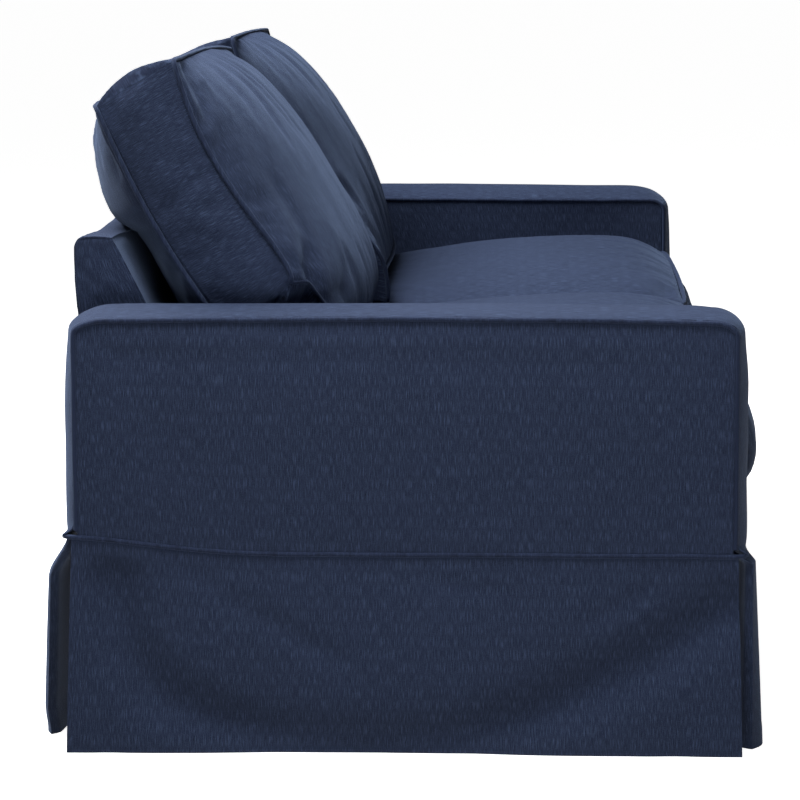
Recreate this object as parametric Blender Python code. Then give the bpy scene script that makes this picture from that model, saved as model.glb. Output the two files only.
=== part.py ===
"""Fitted slipcover for a sofa with box arms, and its four filled cushions.

Metres, +Z up. The floor is z = 0, x = 0 is the middle of the length and the front
faces -Y, so "left" is -X for someone who stands in front and looks at the cover.
The cover is hollow: cut panels and strips of 2 mm cloth meet at seams, some of them
with a cord (welt) in the seam. It hangs from the seat deck, back and arm tops.
"""
import math

import bmesh
import bpy
from mathutils import Vector

# Driving dimensions, in metres.
CLOTH = 0.002  # thickness of the cloth
CORD = 0.0034  # radius of a welt
CORD_SEAM = 0.0038  # from a corded seam line to the cut edge of the cloth beside it
WAIST_SEAM = 0.0042  # the same at the waist, whose seam is curved
PLAIN_SEAM = 0.0008  # the same for a seam with no cord
BORDER_SEAM = 0.0001  # the same for the border's top, whose edge leans away from the deck

HALF_LENGTH = 1.080  # to the face of an outside arm panel
ARM_WIDTH = 0.155
ARM_TOP = 0.605  # height of the arm's top seams
ARM_FRONT = -0.457
ARM_REAR = 0.456
ARM_CORNER_FRONT = (0.031, 0.021)  # the arm's rounding, along the arm and down
ARM_CORNER_REAR = (0.052, 0.018)
ARM_SEAM_RISE = 0.004  # how far the outer top seam climbs between the corners
ARM_CROWN = {"left": 0.012, "right": 0.021}  # rise of an arm strip between its seams
ARM_CROWN_LEGS = {"left": 0.019, "right": 0.014}  # the same down its front and rear

WAIST = 0.281  # height of the seam that the skirt hangs from
WAIST_LIFT = 0.023  # how far that seam climbs at the rear corners
WAIST_FRONT = -0.474
WAIST_REAR = 0.474
WAIST_SIDE = 1.0815
WAIST_RADIUS = 0.018
FOOT_KICK = 0.0155  # how far an arm strip's foot stands out to meet the waist seam
FOOT_TURN = 0.016  # the height over which it does so

DECK = 0.312  # height of the seat deck
BACK_TOP = 0.705
BACK_REAR = 0.473  # the rear face at its top
BACK_SAG = 0.012  # how far the cushions press the top strip down
BACK_LIP = 0.418  # where the inside back reaches the top strip
BACK_RAKE = 0.51  # metres forward for each metre down

NAVY = (0.030, 0.038, 0.070)
NAVY_CORD = (0.022, 0.029, 0.055)
SIDES = {"left": -1, "right": 1}


# ---------------------------------------------------------------- small helpers
def lerp(start, end, amount):
    return start + (end - start) * amount


def smooth(amount):
    """An even step from 0 to 1."""
    amount = min(max(amount, 0.0), 1.0)
    return amount * amount * (3.0 - 2.0 * amount)


def clear_scene():
    for item in list(bpy.data.objects):
        bpy.data.objects.remove(item, do_unlink=True)


def cloth_material(name, colour):
    material = bpy.data.materials.new(name + "_cloth")
    material.use_nodes = True
    shader = material.node_tree.nodes["Principled BSDF"]
    shader.inputs["Base Color"].default_value = (*colour, 1.0)
    shader.inputs["Roughness"].default_value = 0.9
    shader.inputs["Metallic"].default_value = 0.0
    return material


def add_object(name, data, colour):
    item = bpy.data.objects.new(name, data)
    bpy.context.collection.objects.link(item)
    data.materials.append(cloth_material(name, colour))
    return item


def sheet(name, surface, columns, rows):
    """A cloth panel: a grid laid on surface(u, v), then thickened inwards.

    The outer side is the one that du x dv points to.
    """
    shape = bmesh.new()
    bmesh.ops.create_grid(shape, x_segments=columns, y_segments=rows, size=0.5)
    for vert in shape.verts:
        vert.co = Vector(surface(vert.co.x + 0.5, vert.co.y + 0.5))
    mesh = bpy.data.meshes.new(name)
    shape.to_mesh(mesh)
    shape.free()
    item = add_object(name, mesh, NAVY)
    thicken = item.modifiers.new("Cloth thickness", "SOLIDIFY")
    thicken.thickness = CLOTH
    thicken.offset = -1.0
    return item


def welt(name, points, closed, sides_step=1):
    """A round cord through the points."""
    curve = bpy.data.curves.new(name, "CURVE")
    curve.dimensions = "3D"
    curve.bevel_depth = CORD
    curve.bevel_resolution = sides_step
    curve.use_fill_caps = True
    spline = curve.splines.new("POLY")
    spline.points.add(len(points) - 1)
    for spot, place in zip(spline.points, points):
        spot.co = (*place, 1.0)
    spline.use_cyclic_u = closed
    return add_object(name, curve, NAVY_CORD)


# ---------------------------------------------------------------- shared lines
def rake_y(z):
    """Where the inside back stands at height z."""
    return BACK_LIP - BACK_RAKE * (BACK_TOP - z)


def waist_z(x, y):
    """Height of the waist seam: level at the front, lifted at the rear corners."""
    climb = smooth((y - 0.12) / 0.36) ** 2
    return WAIST + WAIST_LIFT * climb * (abs(x) / HALF_LENGTH) ** 4


def arm_line(u, inset=0.0):
    """The arm's seam line seen from the side, front foot to rear foot over the top.

    Gives y, z and the outward direction. The two legs, two rounded corners and the top
    take fixed shares of u, so that a grid of 25 columns meets every change of direction.
    """
    front = ARM_FRONT + inset
    rear = ARM_REAR - inset
    top = ARM_TOP - inset
    front_y, front_z = ARM_CORNER_FRONT[0] - inset, ARM_CORNER_FRONT[1] - inset
    rear_y, rear_z = ARM_CORNER_REAR[0] - inset, ARM_CORNER_REAR[1] - inset
    if u <= 0.20:
        return front, lerp(WAIST, top - front_z, u / 0.20), -1.0, 0.0
    if u < 0.36:
        turn = (u - 0.20) / 0.16 * math.pi / 2
        across, up = -math.cos(turn), math.sin(turn)
        return front + front_y * (1.0 + across), top - front_z * (1.0 - up), across, up
    if u <= 0.64:
        amount = (u - 0.36) / 0.28
        return lerp(front + front_y, rear - rear_y, amount), top, 0.0, 1.0
    if u < 0.80:
        turn = (u - 0.64) / 0.16 * math.pi / 2
        across, up = math.sin(turn), math.cos(turn)
        return rear - rear_y * (1.0 - across), top - rear_z * (1.0 - up), across, up
    return rear, lerp(top - rear_z, WAIST, (u - 0.80) / 0.20), 1.0, 0.0


def seam_rise(y):
    """How far the outer top seam stands above the arm's corners."""
    start = ARM_FRONT + ARM_CORNER_FRONT[0]
    end = ARM_REAR - ARM_CORNER_REAR[0]
    amount = min(max((y - start) / (end - start), 0.0), 1.0)
    return ARM_SEAM_RISE * math.sin(math.pi * amount)


def corner_drop(past, corner):
    """How far a rounded corner has fallen at a distance past its start."""
    along = min(max(past / corner[0], 0.0), 1.0)
    return corner[1] * (1.0 - math.sqrt(1.0 - along * along))


def corner_ease(y, z):
    """How much flatter the strip lies where it turns a corner of the arm."""
    inset = 0.3 * ARM_CORNER_FRONT[0]
    along = min(y - ARM_FRONT, ARM_REAR - y) - inset
    off = math.hypot(along, ARM_TOP - inset - z)
    return 0.42 * math.exp(-((off / 0.030) ** 2))


def arm_panel_line(u, inset):
    """The arm panel's top edge as y and z for u from the front edge to the rear edge."""
    if u < 0.20:
        y, z, _, _ = arm_line(0.20 + 0.16 * u / 0.20, inset)
    elif u <= 0.80:
        y, z, _, _ = arm_line(0.36 + 0.28 * (u - 0.20) / 0.60, inset)
    else:
        y, z, _, _ = arm_line(0.64 + 0.16 * (u - 0.80) / 0.20, inset)
    return y, z + seam_rise(y)


def back_z(x):
    """Height of the back's top strip, which sags between its ends."""
    inset = HALF_LENGTH - ARM_WIDTH - abs(x)
    return BACK_TOP - BACK_SAG * smooth(inset / 0.30)


def back_rear_y(z):
    """Where the outside back stands at height z."""
    return lerp(ARM_REAR + 0.001, BACK_REAR, smooth((z - 0.45) / 0.22))


# ---------------------------------------------------------------- arms
def outside_arm(name, side):
    def surface(u, v):
        u = u if side > 0 else 1.0 - u
        y, top = arm_panel_line(u, CORD_SEAM)
        foot = waist_z(HALF_LENGTH, y) + WAIST_SEAM
        z = lerp(foot, top, v)
        belly = 0.006 * math.sin(math.pi * u) * math.sin(math.pi * v)
        dent = 0.003 * math.exp(-(((y - 0.15 * side) / 0.10) ** 2)) * math.sin(math.pi * v)
        return side * (HALF_LENGTH + belly - dent), y, z

    return sheet(name, surface, columns=20, rows=5)


def arm_band(name, side, crown_top, crown_legs):
    """The strip between the two seams of an arm: up the front, over the top, down the rear."""

    def surface(u, v):
        u = u if side < 0 else 1.0 - u
        y, z, out_y, out_z = arm_line(u)
        across = 2.0 * v - 1.0
        upright = abs(out_y)
        crown = lerp(crown_top, crown_legs, upright) * (1.0 - across * across)
        crown *= 1.0 - corner_ease(y, z)
        x = lerp(HALF_LENGTH - CORD_SEAM, HALF_LENGTH - ARM_WIDTH + CORD_SEAM, v)
        if u <= 0.20 or u >= 0.80:
            foot = waist_z(x, WAIST_REAR if y > 0.0 else WAIST_FRONT) + WAIST_SEAM
            leg_top = ARM_TOP - (ARM_CORNER_FRONT if u <= 0.20 else ARM_CORNER_REAR)[1]
            z = lerp(foot, z, (z - WAIST) / (leg_top - WAIST))
            kick = max(0.0, 1.0 - (z - foot) / FOOT_TURN) ** 2
            crown += kick * (FOOT_KICK - crown)
        return side * x, y + out_y * crown, z + out_z * crown + seam_rise(y) * (1.0 - v)

    return sheet(name, surface, columns=25, rows=4)


def inside_arm(name, side):
    x = HALF_LENGTH - ARM_WIDTH

    def surface(u, v):
        u = u if side < 0 else 1.0 - u
        top = ARM_TOP - CORD_SEAM
        start = ARM_FRONT + CORD_SEAM
        z = lerp(DECK + PLAIN_SEAM, top, v)
        end = rake_y(z) - 0.004
        y = lerp(start, end, u)
        corner = ARM_CORNER_FRONT[0] - CORD_SEAM, ARM_CORNER_FRONT[1] - CORD_SEAM
        z -= corner_drop(start + corner[0] - y, corner) * v * v
        wave = 0.004 * math.sin(7.0 * y + 1.5) * math.sin(math.pi * v)
        return side * (x - wave * math.sin(math.pi * u)), y, z

    return sheet(name, surface, columns=16, rows=4)


def arm_welts(label, side):
    def cord_point(x, u):
        y, z, _, _ = arm_line(u)
        foot = waist_z(x, y) + 2.6 * CORD
        return side * x, y, max(z + seam_rise(y), foot)

    steps = 25
    outer = [cord_point(HALF_LENGTH, i / steps) for i in range(steps + 1)]
    welt("arm_welt_outer_" + label, outer, closed=False)
    inner_x = HALF_LENGTH - ARM_WIDTH
    inner = []
    for i in range(16):
        y, z, _, _ = arm_line(i / steps)
        inner.append((side * inner_x, y, max(z, DECK + CORD)))
    inner.append((side * inner_x, rake_y(ARM_TOP) - 0.012, ARM_TOP))
    welt("arm_welt_inner_" + label, inner, closed=False)


# ---------------------------------------------------------------- back and seat
def outside_back(name):
    def surface(u, v):
        y_low = WAIST_REAR - 0.004
        half = HALF_LENGTH - ARM_WIDTH + CORD_SEAM - 2.0 * PLAIN_SEAM
        x = lerp(half, -half, u)
        foot = waist_z(x, WAIST_REAR) + WAIST_SEAM
        z = lerp(foot, back_z(x) - CLOTH - PLAIN_SEAM, v)
        if z > ARM_TOP:
            x *= (half - 0.004) / half
        y = back_rear_y(z)
        kick = max(0.0, 1.0 - (z - foot) / 0.06) ** 2
        y += kick * (y_low - y)
        sag = 0.004 * math.sin(3.0 * math.pi * u) * math.sin(math.pi * v)
        return x, y - sag, z

    return sheet(name, surface, columns=20, rows=6)


def back_top(name):
    def surface(u, v):
        half = HALF_LENGTH - ARM_WIDTH
        y = lerp(BACK_LIP + 2.0 * PLAIN_SEAM, BACK_REAR, v)
        x = half * math.sin(math.pi * (u - 0.5))
        crown = 0.002 * math.sin(math.pi * v)
        return x, y, back_z(x) + crown

    return sheet(name, surface, columns=14, rows=3)


def back_end(name, side):
    """The small panel that closes the back above the arm."""

    def surface(u, v):
        u = u if side < 0 else 1.0 - u
        z = lerp(ARM_TOP + 0.001, BACK_TOP - 0.004, v)
        y = lerp(rake_y(z) + 0.003, back_rear_y(z) - 0.003, 1.0 - u)
        past = min(y - ARM_REAR + ARM_CORNER_REAR[0], 0.045)
        z -= corner_drop(past, ARM_CORNER_REAR) * (1.0 - v) ** 3
        y = lerp(rake_y(z) + 0.003, back_rear_y(z) - 0.003, 1.0 - u)
        belly = 0.002 * math.sin(math.pi * u) * math.sin(math.pi * v)
        return side * (HALF_LENGTH - ARM_WIDTH + belly), y, z

    return sheet(name, surface, columns=4, rows=3)


def inside_back(name):
    def surface(u, v):
        half = HALF_LENGTH - ARM_WIDTH - PLAIN_SEAM
        x = half * math.sin(math.pi * (u - 0.5))
        foot = DECK + PLAIN_SEAM
        hollow = 0.004 * math.sin(math.pi * u) * math.sin(math.pi * v)
        y = rake_y(lerp(foot, BACK_TOP, v)) + hollow - PLAIN_SEAM
        return x, y, lerp(foot, back_z(x) - PLAIN_SEAM, v)

    return sheet(name, surface, columns=14, rows=5)


def seat_deck(name):
    def surface(u, v):
        half = HALF_LENGTH - ARM_WIDTH - PLAIN_SEAM
        y = lerp(ARM_FRONT + CLOTH / 2, rake_y(DECK) - PLAIN_SEAM, v)
        return lerp(-half, half, u), y, DECK

    return sheet(name, surface, columns=6, rows=2)


def front_border(name):
    """The strip between the seat deck and the skirt."""

    def surface(u, v):
        half = HALF_LENGTH - ARM_WIDTH + CORD_SEAM - PLAIN_SEAM
        x = lerp(-half, half, u)
        z = lerp(WAIST + WAIST_SEAM, DECK - CLOTH - BORDER_SEAM, v)
        kick = (1.0 - v) ** 2
        half_inside = HALF_LENGTH - ARM_WIDTH - 2.0 * CORD
        x = lerp(x, x * half_inside / half, v)
        return x, ARM_FRONT - 0.014 * kick, z

    return sheet(name, surface, columns=12, rows=2)


# ---------------------------------------------------------------- skirt
FOLD_GAP = 0.009  # between the two layers where a skirt's end folds back
FRONT_FOLD = (0.060, 0.016)  # length and depth of the layer behind
REAR_FOLD = (0.090, 0.010)

# Each trough runs from its head (y, z) to its foot (y, z); depth and spread in metres.
SKIRT_TROUGHS = (
    # head_y, head_z, knee_y, knee_z, foot_y, foot_z, depth, spread
    (0.383, 0.250, 0.243, 0.076, 0.104, 0.010, 0.016, 0.042),
    (-0.413, 0.235, -0.273, 0.134, -0.106, 0.017, 0.014, 0.046),
)


def distance_to_line(y, z, start, end):
    span = Vector(end) - Vector(start)
    reach = Vector((y, z)) - Vector(start)
    along = min(max(reach.dot(span) / span.length_squared, 0.0), 1.0)
    return (reach - span * along).length


def skirt_fold(y, z):
    """How far the side skirt is drawn in at a point of it."""
    depth_here = 0.0
    for head_y, head_z, knee_y, knee_z, foot_y, foot_z, depth, spread in SKIRT_TROUGHS:
        head, knee, foot = (head_y, head_z), (knee_y, knee_z), (foot_y, foot_z)
        off = min(distance_to_line(y, z, head, knee), distance_to_line(y, z, knee, foot))
        depth_here += depth * math.exp(-((off / spread) ** 2))
    return depth_here


def skirt_side(name, side):
    front_top, front_hem = -0.462, -0.470
    rear_top, rear_hem = 0.462, 0.471

    def surface(u, v):
        u = u if side > 0 else 1.0 - u
        y = lerp(lerp(front_hem, rear_hem, u), lerp(front_top, rear_top, u), v)
        head = waist_z(HALF_LENGTH, y) - WAIST_SEAM
        z = lerp(0.0, head, v)
        flare = 0.014 * (1.0 - v) + 0.004 * math.sin(math.pi * v)
        shift = y if side < 0 else -0.8 * y
        drawn_in = skirt_fold(shift, z) * smooth((head - z) / 0.05)
        return side * (WAIST_SIDE + flare - drawn_in), y, z

    return sheet(name, surface, columns=20, rows=7)


def skirt_end_to_end(name, facing, waist_y, hip, hip_reach, flare, end_hem, turn_in, fold_back):
    """The front or rear skirt, which turns round the corners as far as the slits.

    facing is -1 at the front and 1 at the rear. The cloth swells out by hip within
    hip_reach under the waist seam, a share of its height, and by flare more at the hem.
    The hem's ends stand in from the waist's by end_hem and turn towards the side by
    turn_in. There the cloth folds back behind itself, for the length and by the depth
    of fold_back.
    """
    columns, back_columns = 30, 3
    back_share = back_columns / (columns + 2 * back_columns)
    back_length, back_depth = fold_back

    def face(across, down):
        """x and the distance out of the waist at a share of the width, -1 to 1."""
        end = WAIST_SIDE - 0.006 - end_hem * down
        x = (math.sin(across * math.pi / 2) * 0.55 + across * 0.45) * end
        to_end = end - abs(x)
        turn = max(0.0, 1.0 - to_end / 0.050) ** 2
        away = smooth(to_end / 0.15)
        wave = 0.008 * down * math.sin(9.0 * x + 0.6) * away
        swell = hip * smooth(down / hip_reach) * lerp(1.0, 0.5, away)
        hem_curl = 0.006 * smooth((down - 0.85) / 0.15) if facing > 0 else 0.0
        return x, swell + flare * down + wave - hem_curl - turn * lerp(0.008, turn_in, down)

    def surface(u, v):
        u = u if facing < 0 else 1.0 - u
        down = (1.0 - v) ** 1.5
        across = (2.0 * u - 1.0) / (1.0 - 2.0 * back_share)
        x, out = face(min(max(across, -1.0), 1.0), down)
        behind = min(u, 1.0 - u) / back_share
        if behind < 1.0:
            back = 1.0 - behind
            x -= math.copysign(back_length * back**1.5, x)
            out -= FOLD_GAP * smooth(back * 3.0) + back_depth * lerp(0.2, 1.0, down) * back
        head = waist_z(x, waist_y) - CORD_SEAM
        return x, waist_y + facing * out, lerp(0.0, head, 1.0 - down)

    return sheet(name, surface, columns=columns + 2 * back_columns, rows=6)


def waist_welt():
    """One cord round the whole cover."""
    points = []
    corner_steps = 4
    turns = (
        (1, WAIST_FRONT, -90.0),
        (1, WAIST_REAR, 0.0),
        (-1, WAIST_REAR, 90.0),
        (-1, WAIST_FRONT, 180.0),
    )
    side_steps = {0: 12, 1: 20, 2: 12, 3: 20}
    for index, (side, edge_y, first) in enumerate(turns):
        centre_x = side * (WAIST_SIDE - WAIST_RADIUS)
        centre_y = edge_y - math.copysign(WAIST_RADIUS, edge_y)
        arc = []
        for step in range(corner_steps + 1):
            angle = math.radians(first + 90.0 * step / corner_steps)
            x = centre_x + WAIST_RADIUS * math.cos(angle)
            y = centre_y + WAIST_RADIUS * math.sin(angle)
            arc.append((x, y))
        if points:
            last = points[-1]
            steps = side_steps[index]
            for step in range(1, steps):
                amount = step / steps
                points.append((lerp(last[0], arc[0][0], amount), lerp(last[1], arc[0][1], amount)))
        points.extend(arc)
    last, first_point = points[-1], points[0]
    for step in range(1, 12):
        amount = step / 12
        points.append((lerp(last[0], first_point[0], amount), last[1]))
    welt("waist_welt", [(x, y, waist_z(x, y)) for x, y in points], closed=True)


# ---------------------------------------------------------------- cushions
CUSHION_INNER = 0.013  # from x = 0 to a cushion's inner seam
CUSHION_OUTER = 0.912
SEAT_FRONT = -0.455
SEAT_REAR = 0.198
SEAT_UNDER = 0.3125
SEAT_EDGE_LIFT = 0.0085  # the underside's rise to its edges, where the cord is
SEAT_PEAK_Y = -0.310  # where the crown is highest
SEAT_PEAK = 0.565

BACK_FOOT = Vector((0.130, 0.606))  # y, z of the front bottom corner of the end boxing
BACK_TILT = math.radians(30.06)  # from upright
BACK_HEIGHT = 0.402
BACK_BOXING = 0.127
BACK_BOW_FRONT = 0.021  # how far the end boxing's seams bow to the rear
BACK_BOW_REAR = 0.012
BACK_TOP_SAG = 0.002  # how far the top front seam sags between the cushion's ends
# Each back cushion's bulge and its profile (height of the fullest place, then a power
# above it and a reach and a power below it), the droop of its right end's top and that
# droop's power, the pull on its outer bottom front corner, its inner end's lean, how
# far that end's front seam runs on down to the seat and how far forward it comes there.
BACK_SHAPES = {
    "left": (0.072, (0.080, 4.5, 0.172, 5.0), 0.022, 3.0, 0.046, 0.0, 0.0, 0.0),
    "right": (0.073, (0.099, 4.0, 0.240, 1.8), 0.019, 1.6, 0.020, 0.008, 0.122, 0.045),
}
# The rear of a back cushion at its middle: it lies along the inside back, then
# spills over the top strip. Columns: row, distance up the cushion, distance behind.
BACK_REAR_ROWS = (
    (-1.00, -0.030, 0.185),
    (-0.75, 0.030, 0.206),
    (-0.50, 0.100, 0.205),
    (-0.25, 0.170, 0.202),
    (0.00, 0.2185, 0.1995),
    (0.25, 0.2393, 0.2330),
    (0.50, 0.310, 0.213),
    (0.75, 0.365, 0.195),
    (1.00, 0.405, 0.148),
)


def pillow(amount):
    """The share of a bulge at this place between two seams at -1 and 1."""
    return 1.0 - abs(amount) ** 3


def cushion_x(side, a, b, c):
    """Across the cushion: the outer end is a = side."""
    middle = side * (CUSHION_INNER + CUSHION_OUTER) / 2
    half = (CUSHION_OUTER - CUSHION_INNER) / 2
    spread = 1.0 - 0.012 * abs(b) ** 8
    bulge = 0.009 * (1.0 - c * c) * (1.0 - b**4) if abs(a) == 1.0 else 0.0
    return middle + math.sin(a * math.pi / 2) * half * spread + math.copysign(bulge, a)


def seat_mid_z(y):
    """Height of a seat cushion's top along its middle."""
    if y < SEAT_PEAK_Y:
        return SEAT_PEAK - 0.047 * ((SEAT_PEAK_Y - y) / 0.145) ** 3
    return SEAT_PEAK - 0.044 * ((y - SEAT_PEAK_Y) / 0.373) ** 2.5


def seat_point(side, crown, boxing, set_back, a, b, c):
    """A point of a seat cushion: a across, b from front to rear, c from bottom to top."""
    across = pillow(math.sin(a * math.pi / 2))
    draw = 0.010 * abs(a) ** 8
    reach = math.sin(b * math.pi / 2)
    y = lerp(SEAT_FRONT + set_back + draw, SEAT_REAR - draw, (reach + 1.0) / 2)
    seam = lerp(0.500, 0.486, (reach + 1.0) / 2)
    top = seam + (seat_mid_z(y) - seam) * across * crown
    under = SEAT_UNDER + SEAT_EDGE_LIFT * (1.0 - across * pillow(reach))
    z = lerp(under, top, (c + 1.0) / 2)
    if b == -1.0:
        y -= boxing * (1.0 - c * c) * (1.0 - 0.45 * c) * (1.0 - 0.75 * abs(a) ** 5)
    if b == 1.0:
        y += 0.009 * (1.0 - c * c)
    return cushion_x(side, a, b, c), y, z


def rear_row(b):
    """Distance up and behind for the rear of a back cushion at its middle."""
    for low, high in zip(BACK_REAR_ROWS, BACK_REAR_ROWS[1:]):
        if b <= high[0]:
            amount = (b - low[0]) / (high[0] - low[0])
            return lerp(low[1], high[1], amount), lerp(low[2], high[2], amount)
    return BACK_REAR_ROWS[-1][1:]


def front_row(b, bulge, profile):
    """Distance up and in front for the face of a back cushion at its middle."""
    fullest, above_power, below_reach, below_power = profile
    up = lerp(-0.085, BACK_HEIGHT, (math.sin(b * math.pi / 2) * 0.5 + b * 0.5 + 1.0) / 2)
    above = up - fullest
    if above > 0.0:
        fall = (above / (0.405 - fullest)) ** above_power
    else:
        fall = (-above / below_reach) ** below_power
    return up, bulge * (1.0 - fall)


def back_point(side, shape, a, b, c):
    """A point of a back cushion: a across, b from bottom to top, c from rear to front."""
    bulge, profile, droop, droop_power, ear, lean, inner_drop, inner_reach = shape
    end = math.sin(a * math.pi / 2)
    across = pillow(end)
    inner = ((1.0 - side * end) / 2) ** 2
    rise = (b + 1.0) / 2
    mid_up, mid_out = front_row(b, bulge, profile)
    end_up = lerp(-inner_drop * inner, BACK_HEIGHT, rise)
    belly = math.sin(math.pi * min(1.0, (rise + 0.035) / 0.40))
    end_out = (inner_reach * belly + lean * rise) * inner
    end_out -= BACK_BOW_FRONT * math.sin(math.pi * rise**1.5)
    front_up = lerp(end_up, mid_up, across)
    front_out = lerp(end_out, mid_out, across)
    mid_up, mid_behind = rear_row(b)
    rear_up = lerp(lerp(0.012, BACK_HEIGHT - 0.002, rise), mid_up, across)
    bow = BACK_BOW_REAR * math.sin(math.pi * rise)
    rear_out = -lerp(BACK_BOXING + bow, mid_behind, across)
    forward = (c + 1.0) / 2
    up = lerp(rear_up, front_up, forward)
    out = lerp(rear_out, front_out, forward)
    if b == -1.0:
        up -= lerp(0.019, 0.010, across) * (1.0 - c * c)
    if b == 1.0:
        up += lerp(0.0165, 0.006, across) * (1.0 - c * c)
    sag = BACK_TOP_SAG * across * forward
    up -= (droop * ((end + 1.0) / 2) ** droop_power + sag + 0.8 * lean * inner) * rise**4
    from_end = (1.0 - side * end) * (CUSHION_OUTER - CUSHION_INNER) / 2
    low = forward * max(0.0, 1.0 - rise / 0.30) ** 2
    up += ear * low * smooth((0.080 - from_end) / 0.046) * (1.0 + 3.5 * from_end)
    out -= 0.3 * ear * low * max(0.0, 1.0 - from_end / 0.020)
    along = Vector((math.sin(BACK_TILT), math.cos(BACK_TILT)))
    ahead = Vector((-math.cos(BACK_TILT), math.sin(BACK_TILT)))
    y, z = BACK_FOOT + along * up + ahead * out
    return cushion_x(side, a, b, c), y, z


def cushion(name, point, cuts):
    """A filled cushion: a box cut into a grid, each grid point moved by point(a, b, c)."""
    shape = bmesh.new()
    bmesh.ops.create_cube(shape, size=2.0)
    for axis, count in enumerate(cuts):
        along = [e for e in shape.edges if abs(e.verts[0].co[axis] - e.verts[1].co[axis]) > 1.0]
        bmesh.ops.subdivide_edges(shape, edges=along, cuts=count - 1, use_grid_fill=True)
    spots = {}
    for vert in shape.verts:
        key = tuple(round(value, 4) for value in vert.co)
        spots[key] = vert
    for key, vert in spots.items():
        vert.co = Vector(point(*key))
    bmesh.ops.recalc_face_normals(shape, faces=shape.faces)
    shape.normal_update()
    places = {key: (vert.co.copy(), vert.normal.copy()) for key, vert in spots.items()}
    mesh = bpy.data.meshes.new(name)
    shape.to_mesh(mesh)
    shape.free()
    mesh.shade_smooth()
    item = add_object(name, mesh, NAVY)
    item.data.set_sharp_from_angle(angle=math.radians(35.0))
    return places


def cushion_welt(name, places, cuts, on_edge):
    """A cord just outside the cushion's edge; on_edge(p, q) gives a grid key."""
    ring = []
    first, second = cuts
    ring += [(-1 + 2 * i / first, -1) for i in range(first)]
    ring += [(1, -1 + 2 * i / second) for i in range(second)]
    ring += [(1 - 2 * i / first, 1) for i in range(first)]
    ring += [(-1, 1 - 2 * i / second) for i in range(second)]
    points = []
    for p, q in ring:
        key = tuple(round(float(value), 4) for value in on_edge(p, q))
        place, normal = places[key]
        points.append(place + normal * (CORD + 0.0001))
    welt(name, points, closed=True, sides_step=0)


def seat_cushion(label, side, crown, boxing, set_back):
    cuts = (10, 8, 4)

    def point(a, b, c):
        return seat_point(side, crown, boxing, set_back, a, b, c)

    places = cushion("seat_cushion_" + label, point, cuts)
    edges = {"top": 1, "bottom": -1}
    for edge, c in edges.items():
        name = "seat_welt_" + edge + "_" + label
        cushion_welt(name, places, cuts[:2], lambda p, q, c=c: (p, q, c))


def back_cushion(label, side):
    cuts = (10, 8, 2)

    def point(a, b, c):
        return back_point(side, BACK_SHAPES[label], a, b, c)

    places = cushion("back_cushion_" + label, point, cuts)
    edges = {"front": 1, "rear": -1}
    for edge, c in edges.items():
        name = "back_welt_" + edge + "_" + label
        cushion_welt(name, places, cuts[:2], lambda p, q, c=c: (p, q, c))


# ---------------------------------------------------------------- the whole cover
def build():
    clear_scene()
    for label, side in SIDES.items():
        outside_arm("outside_arm_" + label, side)
        arm_band("arm_band_" + label, side, ARM_CROWN[label], ARM_CROWN_LEGS[label])
        inside_arm("inside_arm_" + label, side)
        arm_welts(label, side)
        back_end("back_end_" + label, side)
        skirt_side("skirt_" + label, side)
    outside_back("outside_back")
    back_top("back_top")
    inside_back("inside_back")
    seat_deck("seat_deck")
    front_border("front_border")
    front = {"hip": 0.0165, "hip_reach": 0.05, "flare": 0.016, "end_hem": 0.025}
    rear = {"hip": 0.024, "hip_reach": 0.20, "flare": 0.026, "end_hem": 0.085}
    skirt_end_to_end("skirt_front", -1, WAIST_FRONT, turn_in=0.0195, fold_back=FRONT_FOLD, **front)
    skirt_end_to_end("skirt_back", 1, WAIST_REAR, turn_in=0.012, fold_back=REAR_FOLD, **rear)
    waist_welt()
    seat_cushion("left", -1, crown=0.90, boxing=0.050, set_back=0.0)
    seat_cushion("right", 1, crown=1.0, boxing=0.037, set_back=0.006)
    back_cushion("left", -1)
    back_cushion("right", 1)


build()
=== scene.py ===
"""Dresses a fitted sofa slipcover with box arms and its four filled cushions.

Metres, +Z up. The floor is z = 0, x = 0 is the middle of the length and the front
faces -Y, so "left" is -X for someone who stands in front and looks at the cover.
Every cloth panel is a fine sheet laid on the shape of its solid, with its own grid of
seams, folds and puckers. The cushions get their creases from a cloth simulation.
"""
import itertools
import math

import bmesh
import bpy
import numpy as np
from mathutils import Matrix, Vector, noise


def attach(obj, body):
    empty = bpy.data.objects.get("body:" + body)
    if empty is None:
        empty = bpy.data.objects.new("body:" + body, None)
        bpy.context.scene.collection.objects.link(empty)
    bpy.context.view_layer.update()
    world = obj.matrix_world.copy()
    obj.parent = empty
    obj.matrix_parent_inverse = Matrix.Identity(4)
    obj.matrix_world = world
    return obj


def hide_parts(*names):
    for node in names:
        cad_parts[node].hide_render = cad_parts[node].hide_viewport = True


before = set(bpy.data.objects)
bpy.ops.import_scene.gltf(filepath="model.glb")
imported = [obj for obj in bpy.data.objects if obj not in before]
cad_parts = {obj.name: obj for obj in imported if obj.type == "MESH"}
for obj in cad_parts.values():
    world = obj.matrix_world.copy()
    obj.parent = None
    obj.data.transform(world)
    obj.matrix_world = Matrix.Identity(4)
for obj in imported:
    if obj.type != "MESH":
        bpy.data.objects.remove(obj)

bl_info = {
    "name": "Sofa slipcover",
    "version": (1, 0, 0),
    "blender": (4, 5, 0),
    "location": "View3D > Sidebar > Slipcover",
    "description": "Sews a fitted sofa slipcover and its cushions around a fixed frame",
    "category": "Add Mesh",
}

ROOT = "root"
SIDES = {"left": -1, "right": 1}

# ---- driving dimensions
CORD_SEAM = 0.0022  # from a corded seam line to the cut edge of the cloth beside it
WAIST_SEAM = 0.0010  # the same at the waist
PLAIN_SEAM = 0.0002  # the same for a seam with no cord

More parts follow.
